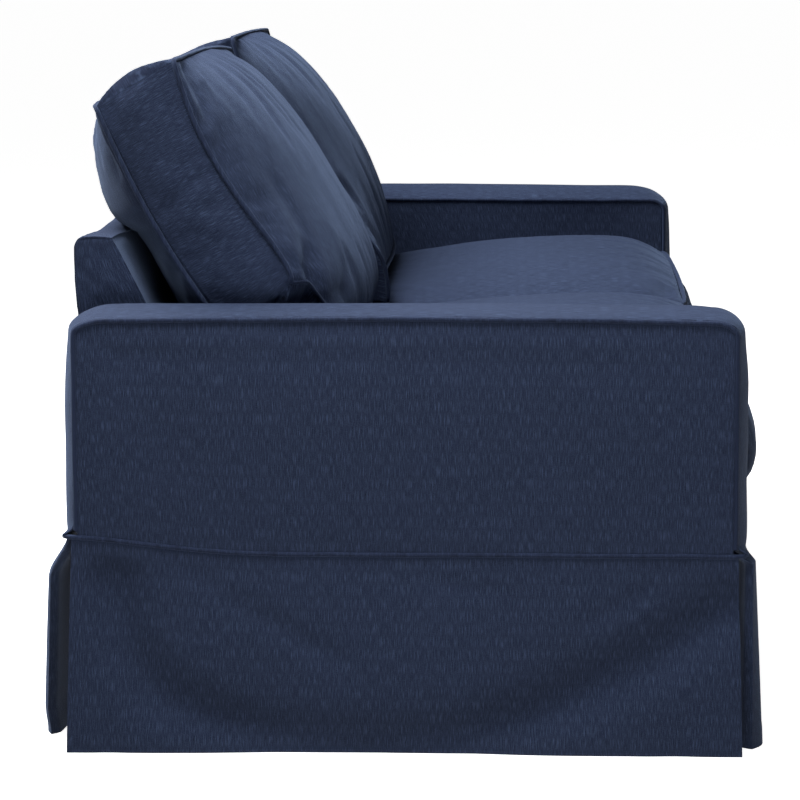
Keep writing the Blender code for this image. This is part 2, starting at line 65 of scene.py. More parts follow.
HALF_LENGTH = 1.080  # to the face of an outside arm panel
ARM_WIDTH = 0.155
ARM_TOP = 0.605  # height of the arm's top seams
ARM_FRONT = -0.457
ARM_REAR = 0.456
ARM_CORNER_FRONT = (0.031, 0.021)  # the arm's rounding, along the arm and down
ARM_CORNER_REAR = (0.052, 0.018)
ARM_SEAM_RISE = 0.004  # how far the outer top seam climbs between the corners
ARM_CROWN = {"left": 0.012, "right": 0.021}  # rise of an arm strip between its seams
ARM_CROWN_LEGS = {"left": 0.019, "right": 0.014}  # the same down its front and rear

WAIST = 0.281  # height of the seam that the skirt hangs from
WAIST_LIFT = 0.023  # how far that seam climbs at the rear corners
WAIST_CLIMB = (0.12, 0.36)  # where along the side it starts to climb, and over what length
WAIST_FRONT = -0.474
WAIST_REAR = 0.474
WAIST_SIDE = 1.0815
WAIST_RADIUS = 0.018
FOOT_KICK = 0.0155  # how far an arm strip's foot stands out to meet the waist seam
FOOT_TURN = 0.016  # the height over which it does so

DECK = 0.312  # height of the seat deck
BACK_TOP = 0.705
BACK_REAR = 0.473  # the rear face at its top
BACK_LEAN = (0.45, 0.22)  # the height where that face starts to lean out, and its rise
BACK_SAG = 0.012  # how far the cushions press the top strip down
BACK_SAG_RUN = 0.30  # from the strip's ends to its full sag
BACK_LIP = 0.418  # where the inside back reaches the top strip
BACK_RAKE = 0.51  # metres forward for each metre down
BACK_ROUND = 0.007  # how far the back's top rear edge is rounded off
BACK_ROUND_HEIGHT = 0.014
BACK_WIDTH = 1.85

INNER_SEAM = HALF_LENGTH - ARM_WIDTH  # to the inner seams of the arms
SKIRT_HEIGHT = 0.277
HEM = 0.030  # height of the skirt's hem stitching

# An arm's seam line runs from 0 at the front foot to 1 at the rear foot. A leg, a
# corner and the top take these shares of it.
LEG_SHARE, CORNER_SHARE, TOP_SHARE = 0.20, 0.16, 0.28
TOP_START, TOP_END, REAR_LEG = 0.36, 0.64, 0.80
LEG_HEIGHT = 0.28
PANEL_CORNER = 0.20  # a corner's share of an outside arm panel's top edge
CORNER_FLATNESS = 0.42  # how much flatter an arm strip lies where it turns a corner
CORNER_FLAT_RUN = 0.030

CUT_EDGE_ANGLE = math.radians(50.0)  # edges sharper than this stay crisp
WEAVE_SHIFT = (0.37, 0.23)  # how far each piece's weave is shifted, so that none match
WELD = 0.00005  # points of a welt that are closer than this are one
WELT_STEP = 0.020  # between the points of a cushion's welt
WAIST_STEP = 0.022  # between those of the waist welt
# Distances from a corded seam at which a sheet's grid has its first lines.
CLOSE_LINES = (0.0, 0.0008, 0.0017, 0.0028, 0.0042, 0.0062, 0.0092, 0.0135)


# ---- user's settings
class SewingSizes(bpy.types.PropertyGroup):
    """How the cover is sewn."""

    cloth: bpy.props.FloatProperty(
        name="Cloth",
        description="Thickness of the cloth",
        default=0.002, min=0.001, max=0.003, unit="LENGTH",
    )
    cord: bpy.props.FloatProperty(
        name="Cord",
        description="Radius of a welt",
        default=0.0034, min=0.002, max=0.005, unit="LENGTH",
    )
    roll: bpy.props.FloatProperty(
        name="Roll",
        description="How far from a corded seam the cloth starts to turn in to it",
        default=0.0036, min=0.001, max=0.008, unit="LENGTH",
    )
    pucker: bpy.props.FloatProperty(
        name="Pucker",
        description="Height of the small folds that the stitching draws beside a seam",
        default=0.0008, min=0.0, max=0.002, unit="LENGTH",
    )
    hang: bpy.props.FloatProperty(
        name="Unevenness",
        description="How far a stretched panel wanders from its true surface",
        default=0.0015, min=0.0, max=0.004, unit="LENGTH",
    )


class CushionFilling(bpy.types.PropertyGroup):
    """How the cushions are filled and how their covers crease."""

    pressure: bpy.props.FloatProperty(
        name="Pressure",
        description="Pressure of the filling against the cover",
        default=4.0, min=0.0, max=10.0,
    )
    spare: bpy.props.FloatProperty(
        name="Spare cloth",
        description="How much more cloth a face has than its seams",
        default=0.045, min=0.0, max=0.1, subtype="FACTOR",
    )
    frames: bpy.props.IntProperty(
        name="Frames",
        description="Length of the cloth simulation",
        default=20, min=5, max=40,
    )
    pitch: bpy.props.FloatProperty(
        name="Grid",
        description="Size of a simulated face",
        default=0.0115, min=0.008, max=0.03, unit="LENGTH",
    )
    most: bpy.props.FloatProperty(
        name="Most movement",
        description="How far a crease may move the cover",
        default=0.006, min=0.0, max=0.03, unit="LENGTH",
    )


class ClothColours(bpy.types.PropertyGroup):
    """The slub cloth that all of the cover is cut from."""

    thread: bpy.props.FloatVectorProperty(
        name="Thread",
        description="Main colour of the cloth",
        default=(0.0150, 0.0222, 0.0500), size=3, min=0.0, max=1.0, subtype="COLOR",
    )
    slub: bpy.props.FloatVectorProperty(
        name="Slub",
        description="Colour of the pale thick places in the lengthwise threads",
        default=(0.042, 0.062, 0.118), size=3, min=0.0, max=1.0, subtype="COLOR",
    )
    shade: bpy.props.FloatVectorProperty(
        name="Dark thread",
        description="Colour of the darkest threads",
        default=(0.0058, 0.0082, 0.0190), size=3, min=0.0, max=1.0, subtype="COLOR",
    )
    slub_width: bpy.props.FloatProperty(
        name="Slub width",
        description="Width of one streak in the weave",
        default=0.0008, min=0.0005, max=0.01, unit="LENGTH",
    )
    slub_length: bpy.props.FloatProperty(
        name="Slub length",
        description="Length of one streak in the weave",
        default=0.018, min=0.005, max=0.1, unit="LENGTH",
    )
    sheen: bpy.props.FloatProperty(
        name="Sheen",
        description="Soft shine of the raised fibres where the cloth is seen edge on",
        default=0.15, min=0.0, max=1.0, subtype="FACTOR",
    )


class StudioLights(bpy.types.PropertyGroup):
    """The lights of the stage."""

    key: bpy.props.FloatProperty(
        name="Key",
        description="Power of the large soft light overhead, in watts",
        default=262.0, min=0.0,
    )
    arm: bpy.props.FloatProperty(
        name="Arm",
        description="Power of the narrow light above the near arm, in watts",
        default=11.0, min=0.0,
    )
    fill: bpy.props.FloatProperty(
        name="Fill",
        description="Power of the low light beside the camera, in watts",
        default=43.0, min=0.0,
    )
    room: bpy.props.FloatProperty(
        name="Room",
        description="Strength of the light that comes from all around",
        default=0.055, min=0.0,
    )


# ---- small helpers
def lerp(start, end, amount):
    return start + (end - start) * amount


def smooth(amount):
    """An even step from 0 to 1."""
    amount = min(max(amount, 0.0), 1.0)
    return amount * amount * (3.0 - 2.0 * amount)


def wander(seed, *spot):
    """Smooth noise from -1 to 1 at a spot given in units of its own wavelength."""
    padded_spot = (*spot, 0.0, 0.0)[:2]
    return noise.noise(Vector((*padded_spot, 7.31 * seed)))


def nearer_end(share):
    """How far a share from 0 to 1 lies from the nearer end."""
    return min(share, 1.0 - share)


def dome(u, v):
    """From 0 at a panel's edges to 1 in its middle."""
    return math.sin(math.pi * u) * math.sin(math.pi * v)


def inside(u, v, reach):
    """0 at a panel's edges and 1 where the edges are further off than reach."""
    return smooth(nearer_end(u) / reach) * smooth(nearer_end(v) / reach)


def steps(*runs):
    """Grid lines as parameters: runs of (start, end, number of gaps)."""
    marks = [runs[0][0]]
    for start, end, gaps in runs:
        marks += [lerp(start, end, i / gaps) for i in range(1, gaps + 1)]
    return marks


def seam_lines(length, pitch, low=True, high=True):
    """Grid lines from 0 to 1: close together beside a corded seam, else pitch apart."""
    start = list(CLOSE_LINES) if low else [0.0]
    end = [length - near for near in reversed(CLOSE_LINES)] if high else [length]
    gaps = max(1, round((end[0] - start[-1]) / pitch))
    middle = [lerp(start[-1], end[0], i / gaps) for i in range(1, gaps)]
    return [mark / length for mark in start + middle + end]


def sewing():
    return bpy.context.scene.cover_sewing


def slack(share, seed, *spot):
    """How far loose cloth wanders out of its true surface."""
    return share * sewing().hang * wander(seed, *spot)


def read_rows(items, key, width, kind=float):
    """A property of all of a mesh's points or corners, in rows of this width."""
    flat = np.empty(len(items) * width, dtype=kind)
    items.foreach_get(key, flat)
    return flat.reshape(-1, width)


def lay_at(mesh, places):
    mesh.vertices.foreach_set("co", places.ravel())
    mesh.update()


def deselect_all():
    if bpy.context.object and bpy.context.object.mode != "OBJECT":
        bpy.ops.object.mode_set(mode="OBJECT")
    bpy.ops.object.select_all(action="DESELECT")


def make_only_active(piece):
    deselect_all()
    piece.select_set(True)
    bpy.context.view_layer.objects.active = piece


def dress(piece, node, material):
    """Gives the finished piece its cloth, hangs it under the root and hides the part it stands
    for.
    """
    piece.data.materials.clear()
    piece.data.materials.append(material)
    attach(piece, ROOT)
    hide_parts(node)


# ---- shared lines
def rake_y(z):
    """Where the inside back stands at height z."""
    return BACK_LIP - BACK_RAKE * (BACK_TOP - z)


def waist_z(x, y):
    """Height of the waist seam: level at the front, lifted at the rear corners."""
    climb = smooth((y - WAIST_CLIMB[0]) / WAIST_CLIMB[1]) ** 2
    return WAIST + WAIST_LIFT * climb * (abs(x) / HALF_LENGTH) ** 4


def arm_line(u, inset=0.0):
    """The arm's seam line seen from the side, front foot to rear foot over the top.

    Gives y, z and the outward direction.
    """
    front = ARM_FRONT + inset
    rear = ARM_REAR - inset
    top = ARM_TOP - inset
    front_y, front_z = ARM_CORNER_FRONT[0] - inset, ARM_CORNER_FRONT[1] - inset
    rear_y, rear_z = ARM_CORNER_REAR[0] - inset, ARM_CORNER_REAR[1] - inset
    if u <= LEG_SHARE:
        return front, lerp(WAIST, top - front_z, u / LEG_SHARE), -1.0, 0.0
    if u < TOP_START:
        turn = (u - LEG_SHARE) / CORNER_SHARE * math.pi / 2
        across, up = -math.cos(turn), math.sin(turn)
        return front + front_y * (1.0 + across), top - front_z * (1.0 - up), across, up
    if u <= TOP_END:
        amount = (u - TOP_START) / TOP_SHARE
        return lerp(front + front_y, rear - rear_y, amount), top, 0.0, 1.0
    if u < REAR_LEG:
        turn = (u - TOP_END) / CORNER_SHARE * math.pi / 2
        across, up = math.sin(turn), math.cos(turn)
        return rear - rear_y * (1.0 - across), top - rear_z * (1.0 - up), across, up
    return rear, lerp(top - rear_z, WAIST, (u - REAR_LEG) / LEG_SHARE), 1.0, 0.0


def seam_rise(y):
    """How far the outer top seam stands above the arm's corners."""
    start = ARM_FRONT + ARM_CORNER_FRONT[0]
    end = ARM_REAR - ARM_CORNER_REAR[0]
    amount = min(max((y - start) / (end - start), 0.0), 1.0)
    return ARM_SEAM_RISE * math.sin(math.pi * amount)


def corner_drop(past, corner):
    """How far a rounded corner has fallen at a distance past its start."""
    along = min(max(past / corner[0], 0.0), 1.0)
    return corner[1] * (1.0 - math.sqrt(1.0 - along * along))


def corner_ease(y, z):
    """How much flatter the strip lies where it turns a corner of the arm."""
    inset = 0.3 * ARM_CORNER_FRONT[0]
    along = min(y - ARM_FRONT, ARM_REAR - y) - inset
    off = math.hypot(along, ARM_TOP - inset - z)
    return CORNER_FLATNESS * math.exp(-((off / CORNER_FLAT_RUN) ** 2))


def arm_panel_line(u, inset):
    """The arm panel's top edge as y and z for u from the front edge to the rear edge."""
    corner = PANEL_CORNER
    if u < corner:
        spot = LEG_SHARE + CORNER_SHARE * u / corner
    elif u <= 1.0 - corner:
        spot = TOP_START + TOP_SHARE * (u - corner) / (1.0 - 2.0 * corner)
    else:
        spot = TOP_END + CORNER_SHARE * (u - 1.0 + corner) / corner
    y, z, _, _ = arm_line(spot, inset)
    return y, z + seam_rise(y)


def arm_edge_distance(y, z):
    """How far a point of an arm panel lies inside its front, top and rear cut edges."""
    below = ARM_TOP - CORD_SEAM + seam_rise(y) - z
    nearest = below
    for corner, past in ((ARM_CORNER_FRONT, y - ARM_FRONT), (ARM_CORNER_REAR, ARM_REAR - y)):
        past -= CORD_SEAM
        nearest = min(nearest, past)
        wide, high = corner[0] - CORD_SEAM, corner[1] - CORD_SEAM
        if past < wide and below < high:
            share_y, share_z = 1.0 - past / wide, 1.0 - below / high
            reach = math.hypot(share_y, share_z)
            size = lerp(high, wide, (share_y / max(reach, 0.001)) ** 2)
            nearest = min(nearest, (1.0 - reach) * size)
    return nearest


def back_z(x):
    """Height of the back's top strip, which sags between its ends."""
    inset = INNER_SEAM - abs(x)
    return BACK_TOP - BACK_SAG * smooth(inset / BACK_SAG_RUN)


def back_rear_y(z):
    """Where the outside back stands at height z."""
    return lerp(ARM_REAR + 0.001, BACK_REAR, smooth((z - BACK_LEAN[0]) / BACK_LEAN[1]))


def top_turn(below):
    """How far the back's rear face leans in at this distance below its top."""
    return BACK_ROUND * max(0.0, 1.0 - below / BACK_ROUND_HEIGHT) ** 2


def trough(spot, folds):
    """How deep the folds are at a spot. Each fold is its points, depth and spread."""
    total = 0.0
    for points, depth, spread in folds:
        off = min(distance_to_line(spot, a, b) for a, b in zip(points, points[1:]))
        if off < 3.0 * spread:
            total += depth * math.exp(-((off / spread) ** 2))
    return total


def distance_to_line(spot, start, end):
    span_x, span_y = end[0] - start[0], end[1] - start[1]
    reach_x, reach_y = spot[0] - start[0], spot[1] - start[1]
    along = (reach_x * span_x + reach_y * span_y) / (span_x * span_x + span_y * span_y)
    along = min(max(along, 0.0), 1.0)
    return math.hypot(reach_x - span_x * along, reach_y - span_y * along)


# ---- relief beside seams
def rolled_in(distance, share=1.0):
    """How far the cloth has turned in at this distance from its cut edge."""
    roll = sewing().roll * share
    short = max(0.0, roll - max(distance, 0.0))
    return roll - math.sqrt(roll * roll - short * short)


def puckers(seed, along, distance, wave=0.022, reach=0.022):
    """The small folds across a seam: along is the place on the seam, in metres."""
    size = sewing().pucker * math.exp(-max(distance, 0.0) / reach)
    return size * (wander(seed, along / wave, 0.6) + 0.5 * wander(seed + 3, along / wave * 2.3))


# ---- making sheets
def grid_places(surface, us, vs):
    return np.array([[surface(u, v) for v in vs] for u in us], dtype=float)


def grid_normals(places):
    """The outer side of a grid is the one that du x dv points to."""
    along_u = np.gradient(places, axis=0)
    along_v = np.gradient(places, axis=1)
    normals = np.cross(along_u, along_v)
    return normals / np.maximum(np.linalg.norm(normals, axis=2, keepdims=True), 1e-12)


def running_length(places, axis):
    """Distance walked along the middle grid line of one direction."""
    line = places[:, places.shape[1] // 2] if axis == 0 else places[places.shape[0] // 2]
    gaps = np.linalg.norm(np.diff(line, axis=0), axis=1)
    return np.concatenate(([0.0], np.cumsum(gaps)))


def laid_sheet(name, surface, us, vs, relief=None, warp="v", seed=0):
    """A cloth panel: a flat grid laid on surface(u, v), raised by relief(u, v, x, y, z).

    us and vs are the grid's lines. The UV map is in metres, its V along the warp. The
    result is (piece, (width, length)), and the panel has its thickness inwards.
    """
    deselect_all()
    bpy.ops.mesh.primitive_grid_add(
        x_subdivisions=len(us) - 1, y_subdivisions=len(vs) - 1, size=2.0
    )
    piece = bpy.context.object
    piece.name = piece.data.name = name
    places = grid_places(surface, us, vs)
    width, length = running_length(places, 0), running_length(places, 1)
    if relief:
        raised = np.array(
            [
                [relief(u, v, *places[i, j]) for j, v in enumerate(vs)]
                for i, u in enumerate(us)
            ]
        )
        places = places + grid_normals(places) * raised[:, :, None]
    mesh = piece.data
    shares = (read_rows(mesh.vertices, "co", 3) + 1.0) / 2.0
    column = np.rint(shares[:, 0] * (len(us) - 1)).astype(int)
    row = np.rint(shares[:, 1] * (len(vs) - 1)).astype(int)
    lay_at(mesh, places[column, row])
    corners = read_rows(mesh.loops, "vertex_index", 1, int).ravel()
    across, up = width[column[corners]], length[row[corners]]
    if warp == "u":
        across, up = up, across
    weave = np.stack((across, up), axis=1) + np.array(WEAVE_SHIFT) * seed
    mesh.uv_layers.active.data.foreach_set("uv", weave.ravel())
    thicken = piece.modifiers.new("Cloth thickness", "SOLIDIFY")
    thicken.thickness = sewing().cloth
    thicken.offset = -1.0
    make_only_active(piece)
    bpy.ops.object.modifier_apply(modifier=thicken.name)
    bpy.ops.object.shade_smooth()
    bpy.ops.object.shade_smooth_by_angle(angle=CUT_EDGE_ANGLE)
    return piece, (float(width[-1]), float(length[-1]))


def sew_panel(name, node, surface, us, vs, held="stretched", **extra):
    """A panel that stands for its node."""
    piece, flat = laid_sheet(name, surface, us, vs, **extra)
    dress(piece, node, bpy.data.materials["slub_cloth"])


# ---- making welts
def rounded(points, closed):
    """The path with each corner cut, twice over."""
    points = [Vector(point) for point in points]
    for _ in range(2):
        pairs = list(zip(points, points[1:] + points[:1] if closed else points[1:]))
        cut = []
        for start, end in pairs:
            cut += [start.lerp(end, 0.25), start.lerp(end, 0.75)]
        points = cut if closed else [points[0], *cut, points[-1]]
    return points


def sew_welt(name, node, points, closed, seed):
    """A cord covered in the cover's own cloth, a little uneven as sewn cord is."""
    cord = sewing().cord
    deselect_all()
    path = rounded(points, closed)
    curve = bpy.data.curves.new(name, "CURVE")
    curve.dimensions = "3D"
    curve.bevel_depth = cord
    curve.bevel_resolution = 3
    curve.use_fill_caps = True
    spline = curve.splines.new("POLY")
    spline.points.add(len(path) - 1)
    walked = 0.0
    for index, (spot, place) in enumerate(zip(spline.points, path)):
        walked += (place - path[index - 1]).length if index else 0.0
        spot.co = (*place, 1.0)
        spot.radius = 1.0 + 0.05 * wander(seed, walked / 0.035)
    spline.use_cyclic_u = closed
    piece = bpy.data.objects.new(name, curve)
    bpy.context.collection.objects.link(piece)
    make_only_active(piece)
    bpy.ops.object.convert(target="MESH")
    piece = bpy.context.object
    bpy.ops.object.mode_set(mode="EDIT")
    bpy.ops.mesh.select_all(action="SELECT")
    bpy.ops.mesh.remove_doubles(threshold=WELD)
    bpy.ops.mesh.normals_make_consistent(inside=False)
    bpy.ops.object.mode_set(mode="OBJECT")
    bpy.ops.object.shade_smooth()
    dress(piece, node, bpy.data.materials["corded_cloth"])


# ---- arms
LEG_STEPS, CORNER_STEPS, TOP_STEPS = 40, 12, 130


def arm_strip_lines():
    legs = seam_lines(LEG_HEIGHT, LEG_HEIGHT / LEG_STEPS, high=False)
    low = [mark * LEG_SHARE for mark in legs]
    high = [1.0 - mark for mark in reversed(low)]
    middle = steps(
        (LEG_SHARE, TOP_START, CORNER_STEPS),
        (TOP_START, TOP_END, TOP_STEPS),
        (TOP_END, REAR_LEG, CORNER_STEPS),
    )
    return low[:-1] + middle + high[1:]


# Folds of the near arm's panel, as (y, z) points, a depth and a spread.
ARM_PANEL_FOLDS = (
    (((-0.445, 0.560), (-0.405, 0.590)), 0.0020, 0.008),
    (((-0.438, 0.545), (-0.385, 0.578)), 0.0012, 0.010),
    (((0.440, 0.580), (0.395, 0.560), (0.330, 0.556)), 0.0014, 0.014),
    (((-0.30, 0.545), (0.05, 0.552), (0.40, 0.548)), 0.0016, 0.020),
)


def sew_outside_arm(label, side):
    def surface(u, v):
        u = u if side > 0 else 1.0 - u
        y, top = arm_panel_line(u, CORD_SEAM)
        foot = waist_z(HALF_LENGTH, y) + WAIST_SEAM
        z = lerp(foot, top, v)
        belly = 0.006 * dome(u, v)
        dent = 0.003 * math.exp(-(((y - 0.15 * side) / 0.10) ** 2)) * math.sin(math.pi * v)
        return side * (HALF_LENGTH + belly - dent), y, z

    def relief(u, v, x, y, z):
        edge = arm_edge_distance(y, z)
        foot = z - waist_z(HALF_LENGTH, y) - WAIST_SEAM
        below_top = ARM_TOP - CORD_SEAM + seam_rise(y) - z
        padding = 0.0045 * smooth(below_top / 0.030) - 0.0020
        fold = trough((y * -side, z), ARM_PANEL_FOLDS)
        loose = slack(1.0, side, y / 0.19, z / 0.13)
        loose += slack(0.4, side + 9, y / 0.06, z / 0.09)
        height = padding + loose * smooth(edge / 0.04) * smooth(foot / 0.03) - fold
        height += puckers(20 + side, y + z, edge) + puckers(24 + side, y, foot)
        return height - rolled_in(min(edge, foot))

    top_end = 1.0 - PANEL_CORNER
    us = steps(
        (0.0, PANEL_CORNER, CORNER_STEPS),
        (PANEL_CORNER, top_end, TOP_STEPS),
        (top_end, 1.0, CORNER_STEPS),
    )
    vs = seam_lines(0.31, 0.006)
    name = "arm_panel_outside_" + label
    sew_panel(name, "outside_arm_" + label, surface, us, vs, relief=relief, seed=1 + side)


def sew_arm_strip(label, side):
    """The strip that runs up the arm's front, over its top and down its rear."""
    width = ARM_WIDTH - 2.0 * CORD_SEAM

    def surface(u, v):
        u = u if side < 0 else 1.0 - u
        y, z, out_y, out_z = arm_line(u)
        across = 2.0 * v - 1.0
        upright = abs(out_y)
        crown = lerp(ARM_CROWN[label], ARM_CROWN_LEGS[label], upright) * (1.0 - across**2)
        crown *= 1.0 - corner_ease(y, z)
        x = lerp(HALF_LENGTH - CORD_SEAM, INNER_SEAM + CORD_SEAM, v)
        if u <= LEG_SHARE or u >= REAR_LEG:
            foot = waist_z(x, WAIST_REAR if y > 0.0 else WAIST_FRONT) + WAIST_SEAM
            leg_top = ARM_TOP - (ARM_CORNER_FRONT if u <= LEG_SHARE else ARM_CORNER_REAR)[1]
            z = lerp(foot, z, (z - WAIST) / (leg_top - WAIST))
            kick = max(0.0, 1.0 - (z - foot) / FOOT_TURN) ** 2
            crown += kick * (FOOT_KICK - crown)
        return side * x, y + out_y * crown, z + out_z * crown + seam_rise(y) * (1.0 - v)

    def relief(u, v, x, y, z):
        edge = nearer_end(v) * width
        foot = nearer_end(u) * LEG_HEIGHT / LEG_SHARE
        on_top = smooth((z - 0.58) / 0.02)
        along = y + 2.0 * z
        creases = 0.0010 * wander(40 + side, y / 0.25, x / 0.018) * on_top
        loose = slack(0.7, 43 + side, along / 0.11, x / 0.09)
        height = (creases + loose) * smooth(edge / 0.02)
        height += 1.2 * puckers(46 + side, along, edge, wave=0.020, reach=0.012)
        return height - rolled_in(edge, 0.6) - rolled_in(foot, 0.4)

    us = arm_strip_lines()
    vs = seam_lines(width, 0.007)
    name, node = "arm_strip_" + label, "arm_band_" + label
    sew_panel(name, node, surface, us, vs, relief=relief, warp="u", seed=5 + side)


def sew_inside_arm(label, side):
    height = 0.285

    def surface(u, v):
        u = u if side < 0 else 1.0 - u
        top = ARM_TOP - CORD_SEAM
        start = ARM_FRONT + CORD_SEAM
        z = lerp(DECK + PLAIN_SEAM, top, v)
        end = rake_y(z) - 0.004
        y = lerp(start, end, u)
        corner = ARM_CORNER_FRONT[0] - CORD_SEAM, ARM_CORNER_FRONT[1] - CORD_SEAM
        z -= corner_drop(start + corner[0] - y, corner) * v * v
        wave = 0.004 * math.sin(7.0 * y + 1.5) * math.sin(math.pi * v)
        return side * (INNER_SEAM - wave * math.sin(math.pi * u)), y, z

    def relief(u, v, x, y, z):
        edge = min(y - ARM_FRONT - CORD_SEAM, (1.0 - v) * height)
        loose = slack(1.0, 60 + side, y / 0.12, z / 0.10)
        loose *= smooth(edge / 0.03) * smooth(u / 0.05) * smooth((1.0 - u) / 0.05)
        return loose + puckers(63 + side, y + z, edge) - rolled_in(edge)

    length = ARM_REAR - ARM_FRONT - 0.20
    us = seam_lines(length, 0.009, low=side < 0, high=side > 0)
    vs = seam_lines(height, 0.009, low=False)
    name = "arm_panel_inside_" + label
    sew_panel(name, "inside_arm_" + label, surface, us, vs, relief=relief, seed=9 + side)


def sew_arm_welts(label, side):
    cord = sewing().cord

    def cord_place(x, u, seed, rise=0.0):
        y, z, out_y, out_z = arm_line(u)
        z += rise * seam_rise(y)
        walked = y + z
        foot = waist_z(x, y) + 2.6 * cord
        sway = 0.0007 * wander(seed, walked / 0.05) + 0.0010 * wander(seed + 1, walked / 0.21)
        return side * x, y - out_y * sway, max(z - out_z * sway, foot)

    us = steps(
        (0.0, LEG_SHARE, 18),
        (LEG_SHARE, TOP_START, 6),
        (TOP_START, TOP_END, 50),
        (TOP_END, REAR_LEG, 6),
        (REAR_LEG, 1.0, 18),
    )
    outer = [cord_place(HALF_LENGTH, u, 70 + side, rise=1.0) for u in us]
    sew_welt("arm_cord_outer_" + label, "arm_welt_outer_" + label, outer, False, 72)
    inner = []
    for u in us:
        x, y, z = cord_place(INNER_SEAM, u, 74 + side)
        if u <= TOP_END and y < rake_y(ARM_TOP) - 0.014:
            inner.append((x, y, max(z, DECK + cord)))
    inner.append((side * INNER_SEAM, rake_y(ARM_TOP) - 0.012, ARM_TOP))
    sew_welt("arm_cord_inner_" + label, "arm_welt_inner_" + label, inner, False, 75)


# ---- back and seat
def sew_outside_back():
    rise = 0.42

    def surface(u, v):
        y_low = WAIST_REAR - 0.004
        half = INNER_SEAM + CORD_SEAM - 2.0 * PLAIN_SEAM
        x = lerp(half, -half, u)
        foot = waist_z(x, WAIST_REAR) + WAIST_SEAM
        z = lerp(foot, back_z(x) - sewing().cloth - PLAIN_SEAM, v)
        narrow = smooth((z - ARM_TOP + 0.026) / 0.006)
        x *= lerp(1.0, (half - 0.004) / half, narrow)
        y = back_rear_y(z)
        kick = max(0.0, 1.0 - (z - foot) / 0.06) ** 2
        y += kick * (y_low - y)
        sag = 0.004 * dome(3.0 * u, v)
        return x, y - sag - top_turn(back_z(x) - z), z

    def relief(u, v, x, y, z):
        edge = nearer_end(u) * BACK_WIDTH
        foot = z - waist_z(x, WAIST_REAR) - WAIST_SEAM
        loose = slack(1.6, 80, x / 0.22, z / 0.16) + slack(0.8, 81, x / 0.07, z / 0.30)
        loose *= smooth(edge / 0.05) * smooth(foot / 0.03) * smooth((1.0 - v) / 0.06)
        loose += puckers(82, x, foot) + puckers(83, z, edge)
        loose += puckers(84, x, (1.0 - v) * rise, wave=0.03)
        return loose - rolled_in(min(edge if z < ARM_TOP else 1.0, foot))

    us = seam_lines(BACK_WIDTH, 0.010)
    vs = seam_lines(rise, 0.010, high=False)
    vs = vs[:-3] + steps((vs[-3], 1.0, 7))[1:]
    sew_panel("back_panel_outside", "outside_back", surface, us, vs, relief=relief, seed=12)


def sew_back_top():
    def surface(u, v):
        y = lerp(BACK_LIP + 2.0 * PLAIN_SEAM, BACK_REAR - 0.8 * BACK_ROUND, v)
        x = lerp(-INNER_SEAM, INNER_SEAM, u)
        crown = 0.002 * math.sin(math.pi * v)
        return x, y, back_z(x) + crown

    def relief(u, v, x, y, z):
        ends = smooth(nearer_end(u) / 0.03) * math.sin(math.pi * v)
        loose = slack(1.3, 90, x / 0.10, y / 0.03) * ends
        rounding = 0.0025 * (1.0 - smooth((1.0 - v) / 0.16))
        return loose - rounding + 0.6 * puckers(91, x, (1.0 - v) * 0.05, wave=0.03)

    us = steps((0.0, 1.0, 190))
    vs = steps((0.0, 0.75, 7), (0.75, 1.0, 6))
    sew_panel("back_strip_top", "back_top", surface, us, vs, relief=relief, warp="u", seed=13)


def sew_back_end(label, side):
    """The small panel that closes the back above the arm."""
    seam = 0.0008

    def surface(u, v):
        u = u if side < 0 else 1.0 - u
        z = lerp(ARM_TOP + 0.001, BACK_TOP - seam, v)
        y = lerp(rake_y(z) + seam, back_rear_y(z) - seam, 1.0 - u)
        past = min(y - ARM_REAR + ARM_CORNER_REAR[0], 0.045)
        z -= corner_drop(past, ARM_CORNER_REAR) * (1.0 - v) ** 3
        rear = back_rear_y(z) - seam - top_turn(BACK_TOP - z)
        y = lerp(rake_y(z) + seam, rear, 1.0 - u)
        return side * (INNER_SEAM + 0.002 * dome(u, v)), y, z

    # Small diagonal folds at the rear foot of the panel, as (y, z) points.
    folds = (
        (((0.468, 0.640), (0.430, 0.606)), 0.0022, 0.006),
        (((0.470, 0.662), (0.415, 0.618)), 0.0016, 0.007),
        (((0.452, 0.700), (0.405, 0.640)), 0.0010, 0.010),
    )

    def relief(u, v, x, y, z):
        loose = slack(0.8, 95 + side, y / 0.03, z / 0.03)
        edges = 0.0010 * (1.0 - smooth(min(u, 1.0 - u, 1.0 - v) / 0.05))
        return (loose - trough((y, z), folds)) * inside(u, v, 0.10) - edges

    marks = steps((0.0, 0.08, 4), (0.08, 0.92, 18), (0.92, 1.0, 4))
    name = "back_panel_end_" + label
    sew_panel(name, "back_end_" + label, surface, marks, marks, relief=relief, seed=15 + side)


def sew_inside_back():
    def surface(u, v):
        half = INNER_SEAM - PLAIN_SEAM
        foot = DECK + PLAIN_SEAM
        x = lerp(-half, half, u)
        y = rake_y(lerp(foot, BACK_TOP, v)) + 0.004 * dome(u, v) - PLAIN_SEAM
        return x, y, lerp(foot, back_z(x) - PLAIN_SEAM, v)

    def relief(u, v, x, y, z):
        loose = min(0.0, slack(1.0, 100, x / 0.12, z / 0.10)) * inside(u, v, 0.05)
        return loose - 0.002 * (1.0 - smooth((1.0 - v) / 0.03))

    us = steps((0.0, 1.0, 110))
    vs = steps((0.0, 0.92, 28), (0.92, 1.0, 6))
    sew_panel("back_panel_inside", "inside_back", surface, us, vs, relief=relief, seed=17)


